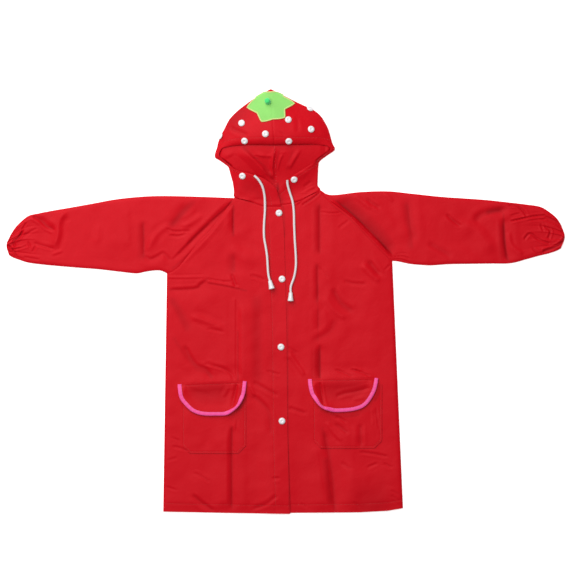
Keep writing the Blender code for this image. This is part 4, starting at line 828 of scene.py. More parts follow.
def rings_mesh(name, rings, uv_round):
    """Closed tube through rings of points, its two ends filled."""
    rings = np.asarray(rings, float)
    columns = rings.shape[1]
    index, _, quads = ring_faces(len(rings), columns)
    faces = quads.tolist() + [index[0].tolist(), index[-1].tolist()]
    mesh = bpy.data.meshes.new(name)
    mesh.from_pydata((rings.reshape(-1, 3) * MM).tolist(), [], faces)
    down, _ = mean_reach(rings)
    layer = mesh.uv_layers.new(name="cloth")
    corners = np.empty(len(mesh.loops), np.int32)
    mesh.loops.foreach_get("vertex_index", corners)
    column = corners % columns
    starts = np.arange(len(corners)) // 4 * 4
    full_turn = (column == 0) & (np.arange(len(corners)) < 4 * len(quads))
    full_turn &= column[np.minimum(starts, len(corners) - 1)] == columns - 1
    u = np.where(full_turn, columns, column) / columns * uv_round
    v = down[corners // columns]
    layer.data.foreach_set("uv", (np.stack((u, v), axis=-1) * MM).ravel())
    tidy_mesh(mesh)
    return new_object(name, mesh)


TURN_STEPS = 40  # cells round a turned piece


def rounded(profile):
    """A profile with its corners cut finer and rounder, its two ends kept."""
    line = np.asarray(profile, float)
    for _ in range(2):
        a, b = line[:-1], line[1:]
        cut = np.stack((0.75 * a + 0.25 * b, 0.25 * a + 0.75 * b), axis=1).reshape(-1, 2)
        line = np.concatenate((line[:1], cut[1:-1], line[-1:]))
    return line


def turned(name, profile):
    """Solid turned about Z from a profile of (radius, height), starting and ending at 0."""
    profile = rounded(profile)
    angle = np.linspace(0, 2 * np.pi, TURN_STEPS, endpoint=False)
    middle = profile[1:-1]
    ring_x = np.outer(middle[:, 0], np.cos(angle))
    ring_y = np.outer(middle[:, 0], np.sin(angle))
    ring_z = np.repeat(middle[:, 1:2], TURN_STEPS, axis=1)
    points = np.stack((ring_x, ring_y, ring_z), axis=-1).reshape(-1, 3)
    points = np.concatenate((points, [(0, 0, profile[0, 1]), (0, 0, profile[-1, 1])]))
    index, after, quads = ring_faces(len(middle), TURN_STEPS)
    faces = quads.tolist()
    first, last = len(points) - 2, len(points) - 1
    faces += [(first, a, b) for a, b in zip(index[0], after[0])]
    faces += [(last, b, a) for a, b in zip(index[-1], after[-1])]
    mesh = bpy.data.meshes.new(name)
    mesh.from_pydata((points * MM).tolist(), [], [[int(k) for k in face] for face in faces])
    return mesh


def placed(name, mesh, spot, axis):
    """A turned mesh, stood at a spot along an axis, its object left at the origin."""
    turn = Vector((0, 0, 1)).rotation_difference(Vector(axis).normalized())
    mesh.transform(turn.to_matrix().to_4x4())
    for vertex in mesh.vertices:
        vertex.co += Vector(spot)
    tidy_mesh(mesh, 60)
    return new_object(name, mesh)


def surface_of(*things):
    """A search tree over objects' faces, in metres."""
    joined = bmesh.new()
    for thing in things:
        joined.from_mesh(thing.data)
    tree = BVHTree.FromBMesh(joined)
    joined.free()
    return tree


def finish_piece(thing, slot, nodes, *materials):
    """Give a piece its materials and its body, and hide the solids it stands for; the slot is not
    used.
    """
    for material in materials:
        thing.data.materials.append(material)
    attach(thing, "root")
    if nodes:
        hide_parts(*nodes)


TROUGH_SHADE = 0.6  # how much of a trough's depth becomes painted shade in the cloth's colour


def paint_fold_shade(piece, creases, shade_bands):
    """Paint shade into the cloth's colour: store how dark it goes along its troughs and along the
    shade bands.
    """
    spots = np.empty(3 * len(piece.data.vertices))
    piece.data.vertices.foreach_get("co", spots)
    x, y = spots.reshape(-1, 3)[:, :2].T / MM
    troughs = []
    for crease in creases:
        if crease.height < 0:
            width = min(crease.left, crease.right)
            shade = -TROUGH_SHADE * crease.height
            troughs.append(Crease(crease.route, width, width, shade, crease.edge))
    painted_shade_amount = np.maximum(relief(x, y, troughs), 0) + np.maximum(relief(x, y, shade_bands), 0)
    # the fold attribute holds painted shade, which the cloth's material uses to darken its colour
    piece.data.attributes.new("fold", "FLOAT", "POINT").data.foreach_set("value", painted_shade_amount)


# --- Materials ---


def linear(value):
    """One channel from sRGB to linear light."""
    return value / 12.92 if value <= 0.04045 else ((value + 0.055) / 1.055) ** 2.4


def colour(text):
    """Linear colour of an sRGB hex."""
    return tuple(linear(int(text[k : k + 2], 16) / 255) for k in (1, 3, 5))


def add_node(tree, kind, settings=None, links=None):
    """Add a node, set its sockets and properties, and link what feeds it."""
    node = tree.nodes.new(kind)
    for key, value in (settings or {}).items():
        if isinstance(key, str) and hasattr(node, key):
            setattr(node, key, value)
        else:
            node.inputs[key].default_value = value
    for key, source in (links or {}).items():
        tree.links.new(source, node.inputs[key])
    return node


def start_material(name, settings):
    """A material with one Principled shader, its even values on its own sockets."""
    material = bpy.data.materials.new(name)
    material.use_nodes = True
    tree = material.node_tree
    shader = tree.nodes["Principled BSDF"]
    for key, value in settings.items():
        shader.inputs[key].default_value = value
    return material, tree, shader


def noise(tree, settings):
    """Cloudy noise over a piece, from 0 to 1."""
    place = add_node(tree, "ShaderNodeTexCoord").outputs["Object"]
    return add_node(tree, "ShaderNodeTexNoise", settings, {"Vector": place}).outputs["Fac"]


def cloth_map(tree):
    """Where a point is on the cloth's own map, in metres."""
    return add_node(tree, "ShaderNodeUVMap", {"uv_map": "cloth"}).outputs["UV"]


def threads(tree, vector, direction, scale, distortion):
    """Rows of threads side by side, from 0 to 1 across each."""
    settings = {"bands_direction": direction, "Scale": scale, "Distortion": distortion}
    return add_node(tree, "ShaderNodeTexWave", settings, {"Vector": vector}).outputs["Fac"]


def ranged(tree, value, settings):
    """A value from 0 to 1, moved to another range."""
    return add_node(tree, "ShaderNodeMapRange", settings, {"Value": value}).outputs["Result"]


def two_tones(tree, shader, low, high, share):
    """Base colour between two tones."""
    tones = {"data_type": "RGBA", 6: (*low, 1), 7: (*high, 1)}
    mix = add_node(tree, "ShaderNodeMix", tones, {0: share})
    tree.links.new(mix.outputs[2], shader.inputs["Base Color"])
    return mix.outputs[2]


def varied_colour(tree, shader, tone, scale, spread, bias=(1.0, 1.0, 1.0)):
    """Base colour that drifts a little lighter and darker over the cloth."""
    low = [c * (1 - spread) for c in tone]
    high = [min(c * (1 + spread) * b, 1.0) for c, b in zip(tone, bias)]
    return two_tones(tree, shader, low, high, noise(tree, {"Scale": scale, "Detail": 3.0}))


def bumped(tree, shader, *layers):
    """Bumps on top of one another: each one's height, its depth in metres and its strength."""
    normal = None
    for height, depth, strength in layers:
        links = {"Height": height} if normal is None else {"Height": height, "Normal": normal}
        settings = {"Distance": depth, "Strength": strength}
        normal = add_node(tree, "ShaderNodeBump", settings, links).outputs["Normal"]
    tree.links.new(normal, shader.inputs["Normal"])


BAND = 0.314  # width in metres of a wave texture's bands at a scale of 1


def woven(tree, pitch):
    """Height of a plain weave on the cloth's own map, from its thread pitch in metres."""
    uv = cloth_map(tree)
    ways = [threads(tree, uv, direction, BAND / pitch / 2, 0.3) for direction in ("X", "Y")]
    total = add_node(tree, "ShaderNodeMath", {"operation": "ADD"}, dict(enumerate(ways)))
    return total.outputs["Value"]


# The fold attribute is painted shade; these set the fold depth of its darkest and how dark that is.
FOLD_DEEPEST, FOLD_SHADE = 4.0, 0.6  # fold depth in mm at which the cloth is darkest; how much


def coated_nylon(name, tone):
    """Coated nylon: a soft waxy sheen over a fine weave, with the faint crinkles of use.

    Its colour holds painted shade: the fold attribute darkens it along the folds and troughs.
    """
    settings = {"Roughness": 0.42, "Specular IOR Level": 0.12}
    settings["Specular Tint"] = (1.0, 0.6, 0.65, 1.0)
    material, tree, shader = start_material(name, settings)
    unshaded_colour = varied_colour(tree, shader, tone, 9.0, 0.04, (1.0, 1.2, 1.2))
    # painted shade: the base colour is mixed towards a dark tone by the fold attribute
    fold = add_node(tree, "ShaderNodeAttribute", {"attribute_name": "fold"}).outputs["Fac"]
    depth = ranged(tree, fold, {"From Max": FOLD_DEEPEST, "To Max": FOLD_SHADE})
    painted_shade_tone = {"data_type": "RGBA", 7: (*(channel * 0.1 for channel in tone), 1)}
    layers = add_node(tree, "ShaderNodeMix", painted_shade_tone, {0: depth, 6: unshaded_colour})
    tree.links.new(layers.outputs[2], shader.inputs["Base Color"])
    creased = noise(tree, {"Scale": 55.0, "Detail": 4.0, "Roughness": 0.55, "Distortion": 0.6})
    pebble = noise(tree, {"Scale": 420.0, "Detail": 2.0})
    weave = woven(tree, 0.0007)
    bumped(tree, shader, (creased, 0.0016, 0.30), (pebble, 0.00025, 0.25), (weave, 0.00006, 0.35))
    gloss = ranged(tree, creased, {"To Min": 0.36, "To Max": 0.5})
    tree.links.new(gloss, shader.inputs["Roughness"])
    return material


def bias_tape(name, tone):
    """Cotton-sateen bias tape: a fine diagonal twill with a soft low gloss."""
    settings = {"Roughness": 0.5, "Specular IOR Level": 0.35, "Sheen Weight": 0.2}
    material, tree, shader = start_material(name, settings)
    varied_colour(tree, shader, tone, 60.0, 0.06)
    twill = threads(tree, cloth_map(tree), "DIAGONAL", 160.0, 0.4)
    bumped(tree, shader, (twill, 0.00012, 0.5))
    return material


def moulded_plastic(name, tone):
    """Moulded acetal: opaque white with a clean soft gloss and a faint grain."""
    settings = {"Roughness": 0.28, "Specular IOR Level": 0.5, "Coat Weight": 0.15}
    material, tree, shader = start_material(name, settings)
    varied_colour(tree, shader, tone, 200.0, 0.02)
    bumped(tree, shader, (noise(tree, {"Scale": 900.0, "Detail": 1.0}), 0.00004, 0.2))
    return material


def braided_cord(name, tone):
    """Braided polyester cord: soft crossing strands, matt, with painted shade between them."""
    material, tree, shader = start_material(name, {"Roughness": 0.7, "Sheen Weight": 0.25})
    strands = []
    for turn in (0.8, -0.8):
        way = add_node(
            tree, "ShaderNodeMapping", {"Rotation": (0.0, 0.0, turn)}, {"Vector": cloth_map(tree)}
        )
        strands.append(threads(tree, way.outputs["Vector"], "X", 105.0, 0.3))
    upper = add_node(tree, "ShaderNodeMath", {"operation": "MAXIMUM"}, dict(enumerate(strands)))
    crossed = upper.outputs["Value"]
    # painted shade: the colour darkens where the strands dip, between them
    two_tones(tree, shader, [c * 0.72 for c in tone], tone, crossed)
    bumped(tree, shader, (crossed, 0.0004, 0.7))
    return material


def brushed_fabric(name, tone, scale):
    """Brushed polyester applique: matt with a short soft nap."""
    settings = {"Roughness": 0.65, "Specular IOR Level": 0.25, "Sheen Weight": 0.35}
    material, tree, shader = start_material(name, settings)
    varied_colour(tree, shader, tone, 45.0, 0.07)
    bumped(tree, shader, (noise(tree, {"Scale": scale, "Detail": 3.0}), 0.0005, 0.4))
    return material


def satin_stitched(name, tone):
    """Satin-stitched edging: glossy threads side by side across its width."""
    settings = {"Roughness": 0.4, "Specular IOR Level": 0.45, "Sheen Weight": 0.2}
    material, tree, shader = start_material(name, settings)
    satin = threads(tree, cloth_map(tree), "Y", 300.0, 1.0)
    # painted shade: the colour darkens between the threads, where they dip
    two_tones(tree, shader, [c * 0.8 for c in tone], tone, satin)
    bumped(tree, shader, (satin, 0.0002, 0.6))
    return material


def sewing_thread(name, tone):
    """Polyester sewing thread: a fine twist with a low gloss."""
    material, tree, shader = start_material(name, {"Roughness": 0.5, "Sheen Weight": 0.2})
    varied_colour(tree, shader, tone, 700.0, 0.12)
    return material


def light_table(name, tone):
    """Opal acrylic light table: even and pale, glowing enough to thin out the shadows."""
    settings = {"Roughness": 0.9, "Specular IOR Level": 0.1, "Emission Strength": 0.5}
    settings["Emission Color"] = (1.0, 1.0, 1.0, 1.0)
    material, tree, shader = start_material(name, settings)
    varied_colour(tree, shader, tone, 3.0, 0.003)
    return material


def shared(name, maker, key, *values):
    """A material in one of the set colours, made when it is first asked for."""
    tone = tuple(getattr(bpy.context.scene.rain_coat_colours, key))
    return bpy.data.materials.get(name) or maker(name, tone, *values)


def red_nylon():
    """Cloth of the coat."""
    return shared("red coated nylon", coated_nylon, "cloth")


def white_plastic():
    """Plastic of the caps and the cord stops."""
    return shared("white moulded acetal", moulded_plastic, "caps")


# --- Body ---


def cells(length):
    """How many cells a length of cloth is divided into."""
    return max(2, round(length / CELL))


def wall():
    """Thickness of the cloth shells, in millimetres."""
    return bpy.context.scene.rain_coat_sizes.cloth / MM


BACK_LENGTH, BACK_WIDTH = 560, 430
BACK_COARSER = 3  # the back's cells are this many times as long as the others
BACK_NECK = (-16.5, 187.7)  # middle of its neck


def back_grid():
    """The back panel in plan, from its own side seams, raglan seams, neck and hem."""
    v = np.linspace(0, 1, cells(BACK_LENGTH) // BACK_COARSER + 1)
    u = np.linspace(0, 1, cells(BACK_WIDTH) // BACK_COARSER + 1)
    edges = []
    for side in SIDES:
        corner = np.array(SIDE_SEAM[side][1])
        seam = along(RAGLAN[side], np.linspace(1, 0, 12))
        route = np.concatenate(([corner + (0, HEM_SHORT)], seam))
        reach = distances(route)
        edge = [np.interp(v * reach[-1], reach, route[:, axis]) for axis in (0, 1)]
        edges.append(np.stack(edge, axis=-1))
    right, left = edges
    hem_x = right[0, 0] + (left[0, 0] - right[0, 0]) * u
    hem = np.stack((hem_x, hem_y(hem_x) + HEM_SHORT), axis=-1)
    neck = np.array((right[-1], BACK_NECK, left[-1]))
    top = np.stack([np.interp(u, (0, 0.5, 1), neck[:, axis]) for axis in (0, 1)], axis=-1)
    U, V = u[None, :, None], v[:, None, None]
    plain = right[:, None] * (1 - U) + left[:, None] * U
    low = hem[None] - (hem[0] * (1 - U) + hem[-1] * U)
    high = top[None] - (top[0] * (1 - U) + top[-1] * U)
    plan = plain + (1 - V) * low + V * high
    return np.concatenate((plan, np.zeros(plan.shape[:2] + (1,))), axis=-1)


def make_back():
    """Back panel, flat on the floor."""
    grid = back_grid()
    piece = shell("back_cloth", grid, grid + (0, 0, wall()))
    finish_piece(piece, "cloth_red", ["back"], red_nylon())


def front_edge(side, y):
    """The x of a front's centre edge at each y."""
    x = line_x(OVERLAP_EDGE, y)
    return x if side == "right" else x - UNDERLAP


def row_shares(start_x, end_x, crease_x, count, fine):
    """Shares of the way across a row, with lines of the grid along the packing crease."""
    low, high = CREASE_SHARES
    crease = min(max((crease_x - start_x) / (end_x - start_x), low), high)
    half = min(PACKING_CREASE_HALF / abs(end_x - start_x), (1 - high) / 2)
    knots = (0, count, count + fine, count + 2 * fine, 2 * (count + fine))
    places = (0, crease - half, crease, crease + half, 1)
    return np.interp(np.arange(2 * (count + fine) + 1), knots, places)


RAGLAN_HEIGHT, FRONT_HALF = 190, 100  # of a front: beside its raglan seam; half its width
CREASE_CELLS = 5  # cells on each side of the packing crease


def front_plan(side):
    """Plan points of a front: rows from hem to neck, columns from centre edge to side."""
    under, corner = np.array(SIDE_SEAM[side])
    hem = HEM[side][-1][1]
    neck = np.array(NECK_SEAM[side])
    t = np.linspace(0, 1, cells(under[1] - hem) + 1)[:-1]
    y = hem + (under[1] - hem) * t
    starts = np.stack((front_edge(side, y), y), axis=-1)
    ends = corner + np.outer(t, under - corner)
    ups = np.zeros(len(t))
    t = np.linspace(0, 1, cells(RAGLAN_HEIGHT) + 1)
    y = under[1] + (neck[0, 1] - under[1]) * t
    starts = np.concatenate((starts, np.stack((front_edge(side, y), y), axis=-1)))
    ends = np.concatenate((ends, along(RAGLAN[side], 1 - t)))
    ups = np.concatenate((ups, t))
    count = cells(FRONT_HALF)
    rows = []
    for start, end, up in zip(starts, ends, ups):
        crease_x = line_x(CREASE_LINE[side], (start[1] + end[1]) / 2)
        share = row_shares(start[0], end[0], crease_x, count, CREASE_CELLS)
        seam = along(NECK_SEAM[side], share)
        chord = neck[0] + np.outer(share, neck[-1] - neck[0])
        row = start + np.outer(share, end - start) + up**NECK_BEND_POWER * (seam - chord)
        chord_y = hem + (corner[1] - hem) * share
        bend = max(0, 1 - (start[1] - hem) / HEM_BEND_REACH)
        row[:, 1] += (hem_y(row[:, 0]) - chord_y) * bend
        rows.append(row)
    return np.array(rows)


def front_grid(side):
    """Outer face of a front."""
    plan = front_plan(side)
    z = front_top(side, plan[..., 0], plan[..., 1])
    return np.concatenate((plan, z[..., None]), axis=-1)


def make_front(side):
    """One front, over the back panel."""
    grid = front_grid(side)
    piece = shell("front_%s_cloth" % side, grid, lowered(grid, wall()))
    finish_piece(piece, "cloth_red", ["front_" + side], red_nylon())
    paint_fold_shade(piece, PACKING + CREASES, BODY_PAINTED_SHADE)


# --- Sleeves ---

FOLD_ANGLES = np.radians((65, 35, 0, -35, -65))
# The wrist's gathers on the upper and the lower side: count, height, offset
UPPER_GATHERS = ((5, 1.5, 0.0), (12, 0.6, 0.35), (19, 0.3, 0.7))
LOWER_GATHERS = ((3, 1.2, 0.0), (8, 0.3, 0.3))
GATHER_SINK = 1.2  # how far below the plain cloth the upper side's gathers start
UPPER_CELLS, LOWER_CELLS = 78, 34  # across a sleeve
SLEEVE_THIN = 0.5  # how much thinner than its edge a sleeve may get
WRIST_FULL = 0.3  # and how much thicker than that it stays at the wrist


def gathered(share, waves):
    """Height of the wrist's gathers across the sleeve, uneven in width and depth."""
    uneven = share + 0.018 * np.sin(2 * np.pi * (2 * share + 0.2))
    total = np.zeros(np.shape(share))
    for count, height, offset in waves:
        total = total + height * (0.5 - 0.5 * np.cos(2 * np.pi * (count * uneven + offset)))
    return total


def between_folds(start, count):
    """Even shares across a sleeve, from one fold to the other."""
    return start + (1 - 2 * start) * np.linspace(0, 1, count + 1)


def sleeve_rings(side, stations, inset):
    """Rings round a flat sleeve, from the raglan seam to the wrist."""
    gather = np.clip(smooth_rows([(s.gather,) for s in SLEEVES[side]], stations)[:, 0], 0, 1)
    ends = np.array((0.0, 1.0))
    plans = []
    for at in stations:
        edges = sleeve_plan(side, at, ends)
        start = (EDGE_TURN + inset) / np.linalg.norm(edges[1] - edges[0])
        upper, lower = between_folds(start, UPPER_CELLS), between_folds(start, LOWER_CELLS)
        plans.append(sleeve_plan(side, at, np.concatenate((upper, lower[::-1], ends))))
    plans = np.array(plans)
    pull = gather[:, None]
    upper, lower = plans[:, : UPPER_CELLS + 1], plans[:, UPPER_CELLS + 1 : -2]
    share = np.linspace(0, 1, UPPER_CELLS + 1)[None]
    below = pull * gathered(share, LOWER_GATHERS)
    fold = (gathered(share, UPPER_GATHERS) - GATHER_SINK) * ease(8 * share * (1 - share))
    top = cloth_top(upper[..., 0], upper[..., 1]) + pull * fold
    top = np.maximum(top, below + EDGE_TOP - SLEEVE_THIN + pull * WRIST_FULL) - inset
    share = np.linspace(1, 0, LOWER_CELLS + 1)[None]
    bottom = pull * gathered(share, LOWER_GATHERS) * np.ones((len(plans), 1)) + inset
    rings = []
    for k in range(len(stations)):
        top_row = np.column_stack((upper[k], top[k]))
        low_row = np.column_stack((lower[k], bottom[k]))
        folds = ((top_row[-1], low_row[0], plans[k, -1]), (top_row[0], low_row[-1], plans[k, -2]))
        turns = []
        for high, low, edge in folds:
            middle, half = (high[2] + low[2]) / 2, (high[2] - low[2]) / 2
            inward = high[:2] - edge
            inward = inward / np.linalg.norm(inward)
            centre = edge + inward * (EDGE_TURN + inset)
            reach = np.cos(FOLD_ANGLES) * EDGE_TURN
            points = centre - np.outer(reach, inward)
            turns.append(np.column_stack((points, middle + half * np.sin(FOLD_ANGLES))))
        rings.append(np.concatenate((top_row, turns[0], low_row, turns[1][::-1])))
    return np.array(rings)


def sleeve_stations():
    """Sections at which a sleeve's rings stand, closer at the gathered wrist."""
    return np.concatenate((np.linspace(0, 9, 176), np.linspace(9, 13, 64)[1:]))


def make_sleeve(side):
    """One sleeve: a flattened tube, open at the raglan seam and the wrist."""
    stations = sleeve_stations()
    outside = sleeve_rings(side, stations, 0.0)
    inside = sleeve_rings(side, stations, wall())
    piece = shell("sleeve_%s_cloth" % side, outside, inside, wrap=True)
    finish_piece(piece, "cloth_red", ["sleeve_" + side], red_nylon())
    paint_fold_shade(piece, CREASES, BODY_PAINTED_SHADE)


# --- Hood ---

FACE_FINE, TURN_FINE, BACK_FINE = 48, 10, 56
# The back of the hood stands up to the face edge over it: the first rib of that edge, where
# the edge runs, the room left under it, and how far below and above it the rise reaches
EDGE_RIB = 7
EDGE_Y = 288.0
EDGE_ROOM = 0.6
RISE_BELOW, RISE_ABOVE = 75.0, 85.0
RISE_START = 0.08  # share of the back, from the side fold, over which it comes up
FOLD_START = 25.0  # how far below the face edge the folds inside reach their height
NECK_ROLL = 1.5  # the hood stands up a little along its seam to the neck
NECK_ROLL_REACH = 13.0
CENTRE_GAP = 0.01  # from each half to the centre line
PUCKER_HEIGHT = 0.28  # of the cord's channel
PUCKER_LENGTH, PUCKER_DRIFT = 5.3, 19  # along it, and how soon their spacing changes
SWELL_SHIFT = {"right": 60, "left": 0}  # so that the halves swell unlike each other


def neck_shares(side):
    """Shares of the neck seam that the hood's face columns meet."""
    neck = NECK_SEAM[side]
    return row_shares(neck[0][0], neck[-1][0], line_x(CREASE_LINE[side], neck[0][1]), 5, 1)[::2]


def rib_points(side, index, inset):
    """Hood along one rib, from the face edge to the centre seam, moved in by inset."""
    ribs = HOOD[side]
    rib = ribs[index]
    before, after = ribs[max(index - 1, 0)], ribs[min(index + 1, len(ribs) - 1)]
    run = np.array((after.side_x - before.side_x, after.side_y - before.side_y))
    run = run / np.linalg.norm(run)
    out = np.array((-run[1], run[0])) if side == "right" else np.array((run[1], -run[0]))
    if index == len(ribs) - 1:
        out = np.array((0.0, 1.0))
    pivot = np.array((rib.side_x, rib.side_y)) - out * rib.turn
    t = np.arange(FACE_FINE) / FACE_FINE
    if index == 0:
        share = np.interp(t * NECK_COLUMNS, range(NECK_COLUMNS + 1), neck_shares(side))
        plan = along(NECK_SEAM[side], share) + (0, SEAM_STEP)
        z = front_top(side, plan[:, 0], plan[:, 1])
    else:
        q = t**FACE_SPREAD
        face = np.array((rib.face_x, rib.face_y))
        plan = face + np.outer(q, pivot - face)
        z = 2 * rib.turn + (rib.face_z - 2 * rib.turn) * (1 - q * q)
        z = z + rib.puff * np.sin(np.pi * q**CROWN_SKEW)
    front = np.column_stack((plan, z - inset))
    angle = np.pi * (0.5 - np.arange(TURN_FINE + 1) / TURN_FINE)
    plan = pivot + np.outer((rib.turn - inset) * np.cos(angle), out)
    turn = np.column_stack((plan, rib.turn + (rib.turn - inset) * np.sin(angle)))
    seam = np.array((line_x(HOOD_SEAM_LINE, rib.seam_y), rib.seam_y))
    k = np.arange(1, BACK_FINE + 1) / BACK_FINE
    plan = pivot + np.outer(k, seam - pivot)
    back = np.column_stack((plan, np.full(BACK_FINE, inset)))
    return np.concatenate((front, turn, back))


def hood_stations():
    """Fractional ribs at which the hood's rows stand, closer over the crown."""
    return np.concatenate((np.linspace(0, 9, 64), np.linspace(9, 14, 66)[1:]))


def back_rise(x, y):
    """How far the back of the hood stands up off the floor."""
    edge = {(rib.face_x, rib.face_z) for half in HOOD.values() for rib in half[EDGE_RIB:]}
    edge_x, edge_z = np.transpose(sorted(edge))
    room = np.interp(x, edge_x, edge_z) - 2 * wall() - EDGE_ROOM
    reach = np.where(y > EDGE_Y, RISE_ABOVE, RISE_BELOW)
    return room * ease(1 - np.abs(y - EDGE_Y) / reach)


def hood_grid(side, inset=0.0):
    """Half the hood, one row of points for each station from neck to crown seam."""
    ribs = [rib_points(side, index, inset) for index in range(len(HOOD[side]))]
    grid = smooth_rows(ribs, hood_stations())
    step = -CENTRE_GAP if side == "right" else CENTRE_GAP
    first = FACE_FINE + TURN_FINE + 1
    back = grid[:, first:]
    fade = ease(np.arange(1, BACK_FINE + 1) / (RISE_START * BACK_FINE))
    x, y = back[..., 0], back[..., 1]
    folds = np.maximum(relief(x, y, HOOD_BACK_CREASES), 0) * ease((EDGE_Y - y) / FOLD_START)
    back[..., 2] = inset + fade * (back_rise(x, y) + folds)
    grid[-1, :, 0] += step
    grid[:-1, -1, 0] = line_x(HOOD_SEAM_LINE, grid[:-1, -1, 1]) + step
    return grid


def grid_normals(grid):
    """Unit normal at each point of a grid of points."""
    down = np.gradient(grid, axis=0)
    across = np.gradient(grid, axis=1)
    normal = np.cross(down, across)
    return normal / np.maximum(np.linalg.norm(normal, axis=2, keepdims=True), 1e-9)


def hood_detail(side, grid):
    """How far each point of the hood's front moves out: casing, seam and puckers."""
    reach, up = distances(grid, 1), distances(grid)
    from_crown = up[-1] - up
    move = groove(np.abs(reach - CASING), CASING_GROOVE)
    move = move + groove(from_crown, CROWN_GROOVE)
    move = move + groove(up, SEAM_GROOVE)
    edge_way = up[:, :1]
    pucker = np.sin(edge_way / PUCKER_LENGTH + 1.3 * np.sin(edge_way / PUCKER_DRIFT))
    move = move + PUCKER_HEIGHT * (pucker * ease(1 - reach / CASING)) * ease(reach / 3)
    move = move + swell(reach, up + SWELL_SHIFT[side], HOOD_SWELL)
    move = move + relief(grid[..., 0], grid[..., 1], HOOD_CREASES)
    move = move + NECK_ROLL * ease(up / 3) * ease(1 - up / NECK_ROLL_REACH)
    front = ease((FACE_FINE + TURN_FINE - np.arange(grid.shape[1])) / 8)
    return move * front * ease(up / 4)


def hood_surfaces(side):
    """The hood half's outer and inner faces, with their fine detail."""
    outside, inside = hood_grid(side), hood_grid(side, wall())
    facing = outside - inside
    thick = np.maximum(np.linalg.norm(facing, axis=2, keepdims=True), 1e-6)
    normal = facing / thick
    move = hood_detail(side, outside)[..., None]
    return outside + normal * move, inside + normal * move


def make_hood_half(side):
    """Half the hood, from the face edge over the side fold to the centre seam."""
    outside, inside = hood_surfaces(side)
    piece = shell("hood_%s_cloth" % side, outside, inside)
    finish_piece(piece, "cloth_red", ["hood_" + side], red_nylon())
    paint_fold_shade(piece, HOOD_CREASES, HOOD_PAINTED_SHADE)


# --- Pockets and flaps ---

POCKET_LINES = 56  # of its grid, each way
POCKET_TURNED = 0.35  # thicker than plain cloth, with its edges turned in


def pocket_grid(side):
    """Outer face of a patch pocket, its edges sewn down and its middle a little full."""
    place = POCKETS[side]
    width = place.left_x - place.right_x
    middle = (place.right_x + place.left_x) / 2
    y = np.linspace(place.top_y, place.bottom_y, POCKET_LINES)[:, None]
    x = np.linspace(place.right_x, place.left_x, POCKET_LINES)[None]
    level = (place.top_y - y) / (place.top_y - place.bottom_y)
    cut = np.maximum(0.0, POCKET_CORNER - (y - place.bottom_y))
    share = (x - middle) / (width / 2)
    x = middle + (x - middle) * (1 - cut * np.abs(share) ** 3 / (width / 2))
    y = np.broadcast_to(y, x.shape)
    full = np.sin(np.pi * np.minimum(level, 0.999)) * (1 - share**4)
    inset = np.minimum(np.minimum(x - x[:, :1], x[:, -1:] - x), y - place.bottom_y)
    z = front_top(side, x, y) + POCKET_REST + 1.0 + POCKET_PUFF * full
    z = z + groove(np.abs(inset - POCKET_STITCH), POCKET_GROOVE)
    z = z + swell(x, y, POCKET_SWELL) * ease(inset / 12)
    return np.stack((x, y, z), axis=-1)


def make_pocket(side):
    """Patch pocket, sewn to its front."""
    grid = pocket_grid(side)
    piece = shell("pocket_%s_cloth" % side, grid, lowered(grid, wall() + POCKET_TURNED))
    finish_piece(piece, "cloth_red", ["pocket_" + side], red_nylon())
    paint_fold_shade(piece, PACKING + CREASES, BODY_PAINTED_SHADE)


def flap_root(side, x):
    """The y of the flap's root at each x."""
    return line_y((FLAP_EDGE[side][0], FLAP_EDGE[side][-1]), x)


def flap_point(side, share, inset):
    """Points inside a flap's curved edge, at shares of its length from its right end."""
    edge = FLAP_EDGE[side]
    run = along(edge, share + FLAP_STEP) - along(edge, share - FLAP_STEP)
    inward = unit(np.stack((-run[:, 1], run[:, 0]), axis=-1))
    point = along(edge, share) + inward * np.broadcast_to(inset, np.shape(share))[:, None]
    point[:, 1] = np.minimum(point[:, 1], flap_root(side, point[:, 0]))
    return point


def flap_shares(count):
    """Where the flap's columns stand round its edge, closer at its ends."""
    t = np.linspace(0, 1, count)
    return 0.012 + 0.976 * (0.55 * t + 0.45 * (0.5 - 0.5 * np.cos(np.pi * t)))


def flap_curl(side, share):
    """Sine and cosine of how far the bound edge curls up, at shares of its length."""
    curl = FLAP_CURLS[side]
    angle = math.radians(curl.degrees) * ease(1 - np.abs(share - curl.share) / curl.spread)
    return np.sin(angle), np.cos(angle)


def flap_under(side, x, y):
    """Height of a flap's under side: it rises from its root over the pocket's top."""
    deep = np.clip((flap_root(side, x) - y) / FLAP_DEPTH, 0, 1)
    lift = np.zeros(np.shape(deep))
    for (d0, lift0), (d1, lift1) in zip(FLAP_LIFT[:-1], FLAP_LIFT[1:]):
        inside = (deep >= d0) & (deep <= d1)
        rise = (lift1 - lift0) * ease((deep - d0) / (d1 - d0))
        lift = np.where(inside, lift0 + rise, lift)
    return cloth_form(x, y) + lift + relief(x, y, FLAP_CREASES)


def flap_rise(side, share):
    """How much a flap stands up inside its bound edge."""
    sine, _ = flap_curl(side, share)
    ends = ease(np.minimum(share, 1 - share) / RIM_ENDS)
    return RIM_LIFT * ends + FLAP_CURLS[side].foot * sine


def edge_section(side, share, depth, height):
    """Points a depth inside the bound edge, which curls up out of the flap's plane."""
    sine, cosine = flap_curl(side, share)
    plan = flap_point(side, share, depth * cosine + height * sine)
    z = flap_under(side, plan[:, 0], plan[:, 1]) + flap_rise(side, share)
    z = z + (BINDING_WIDTH - depth) * sine + height * cosine
    return np.column_stack((plan, z))


FLAP_ROWS, FLAP_COLUMNS = 34, 121
FLAP_HELD = 1.3  # how far inside the binding's edge the flap ends


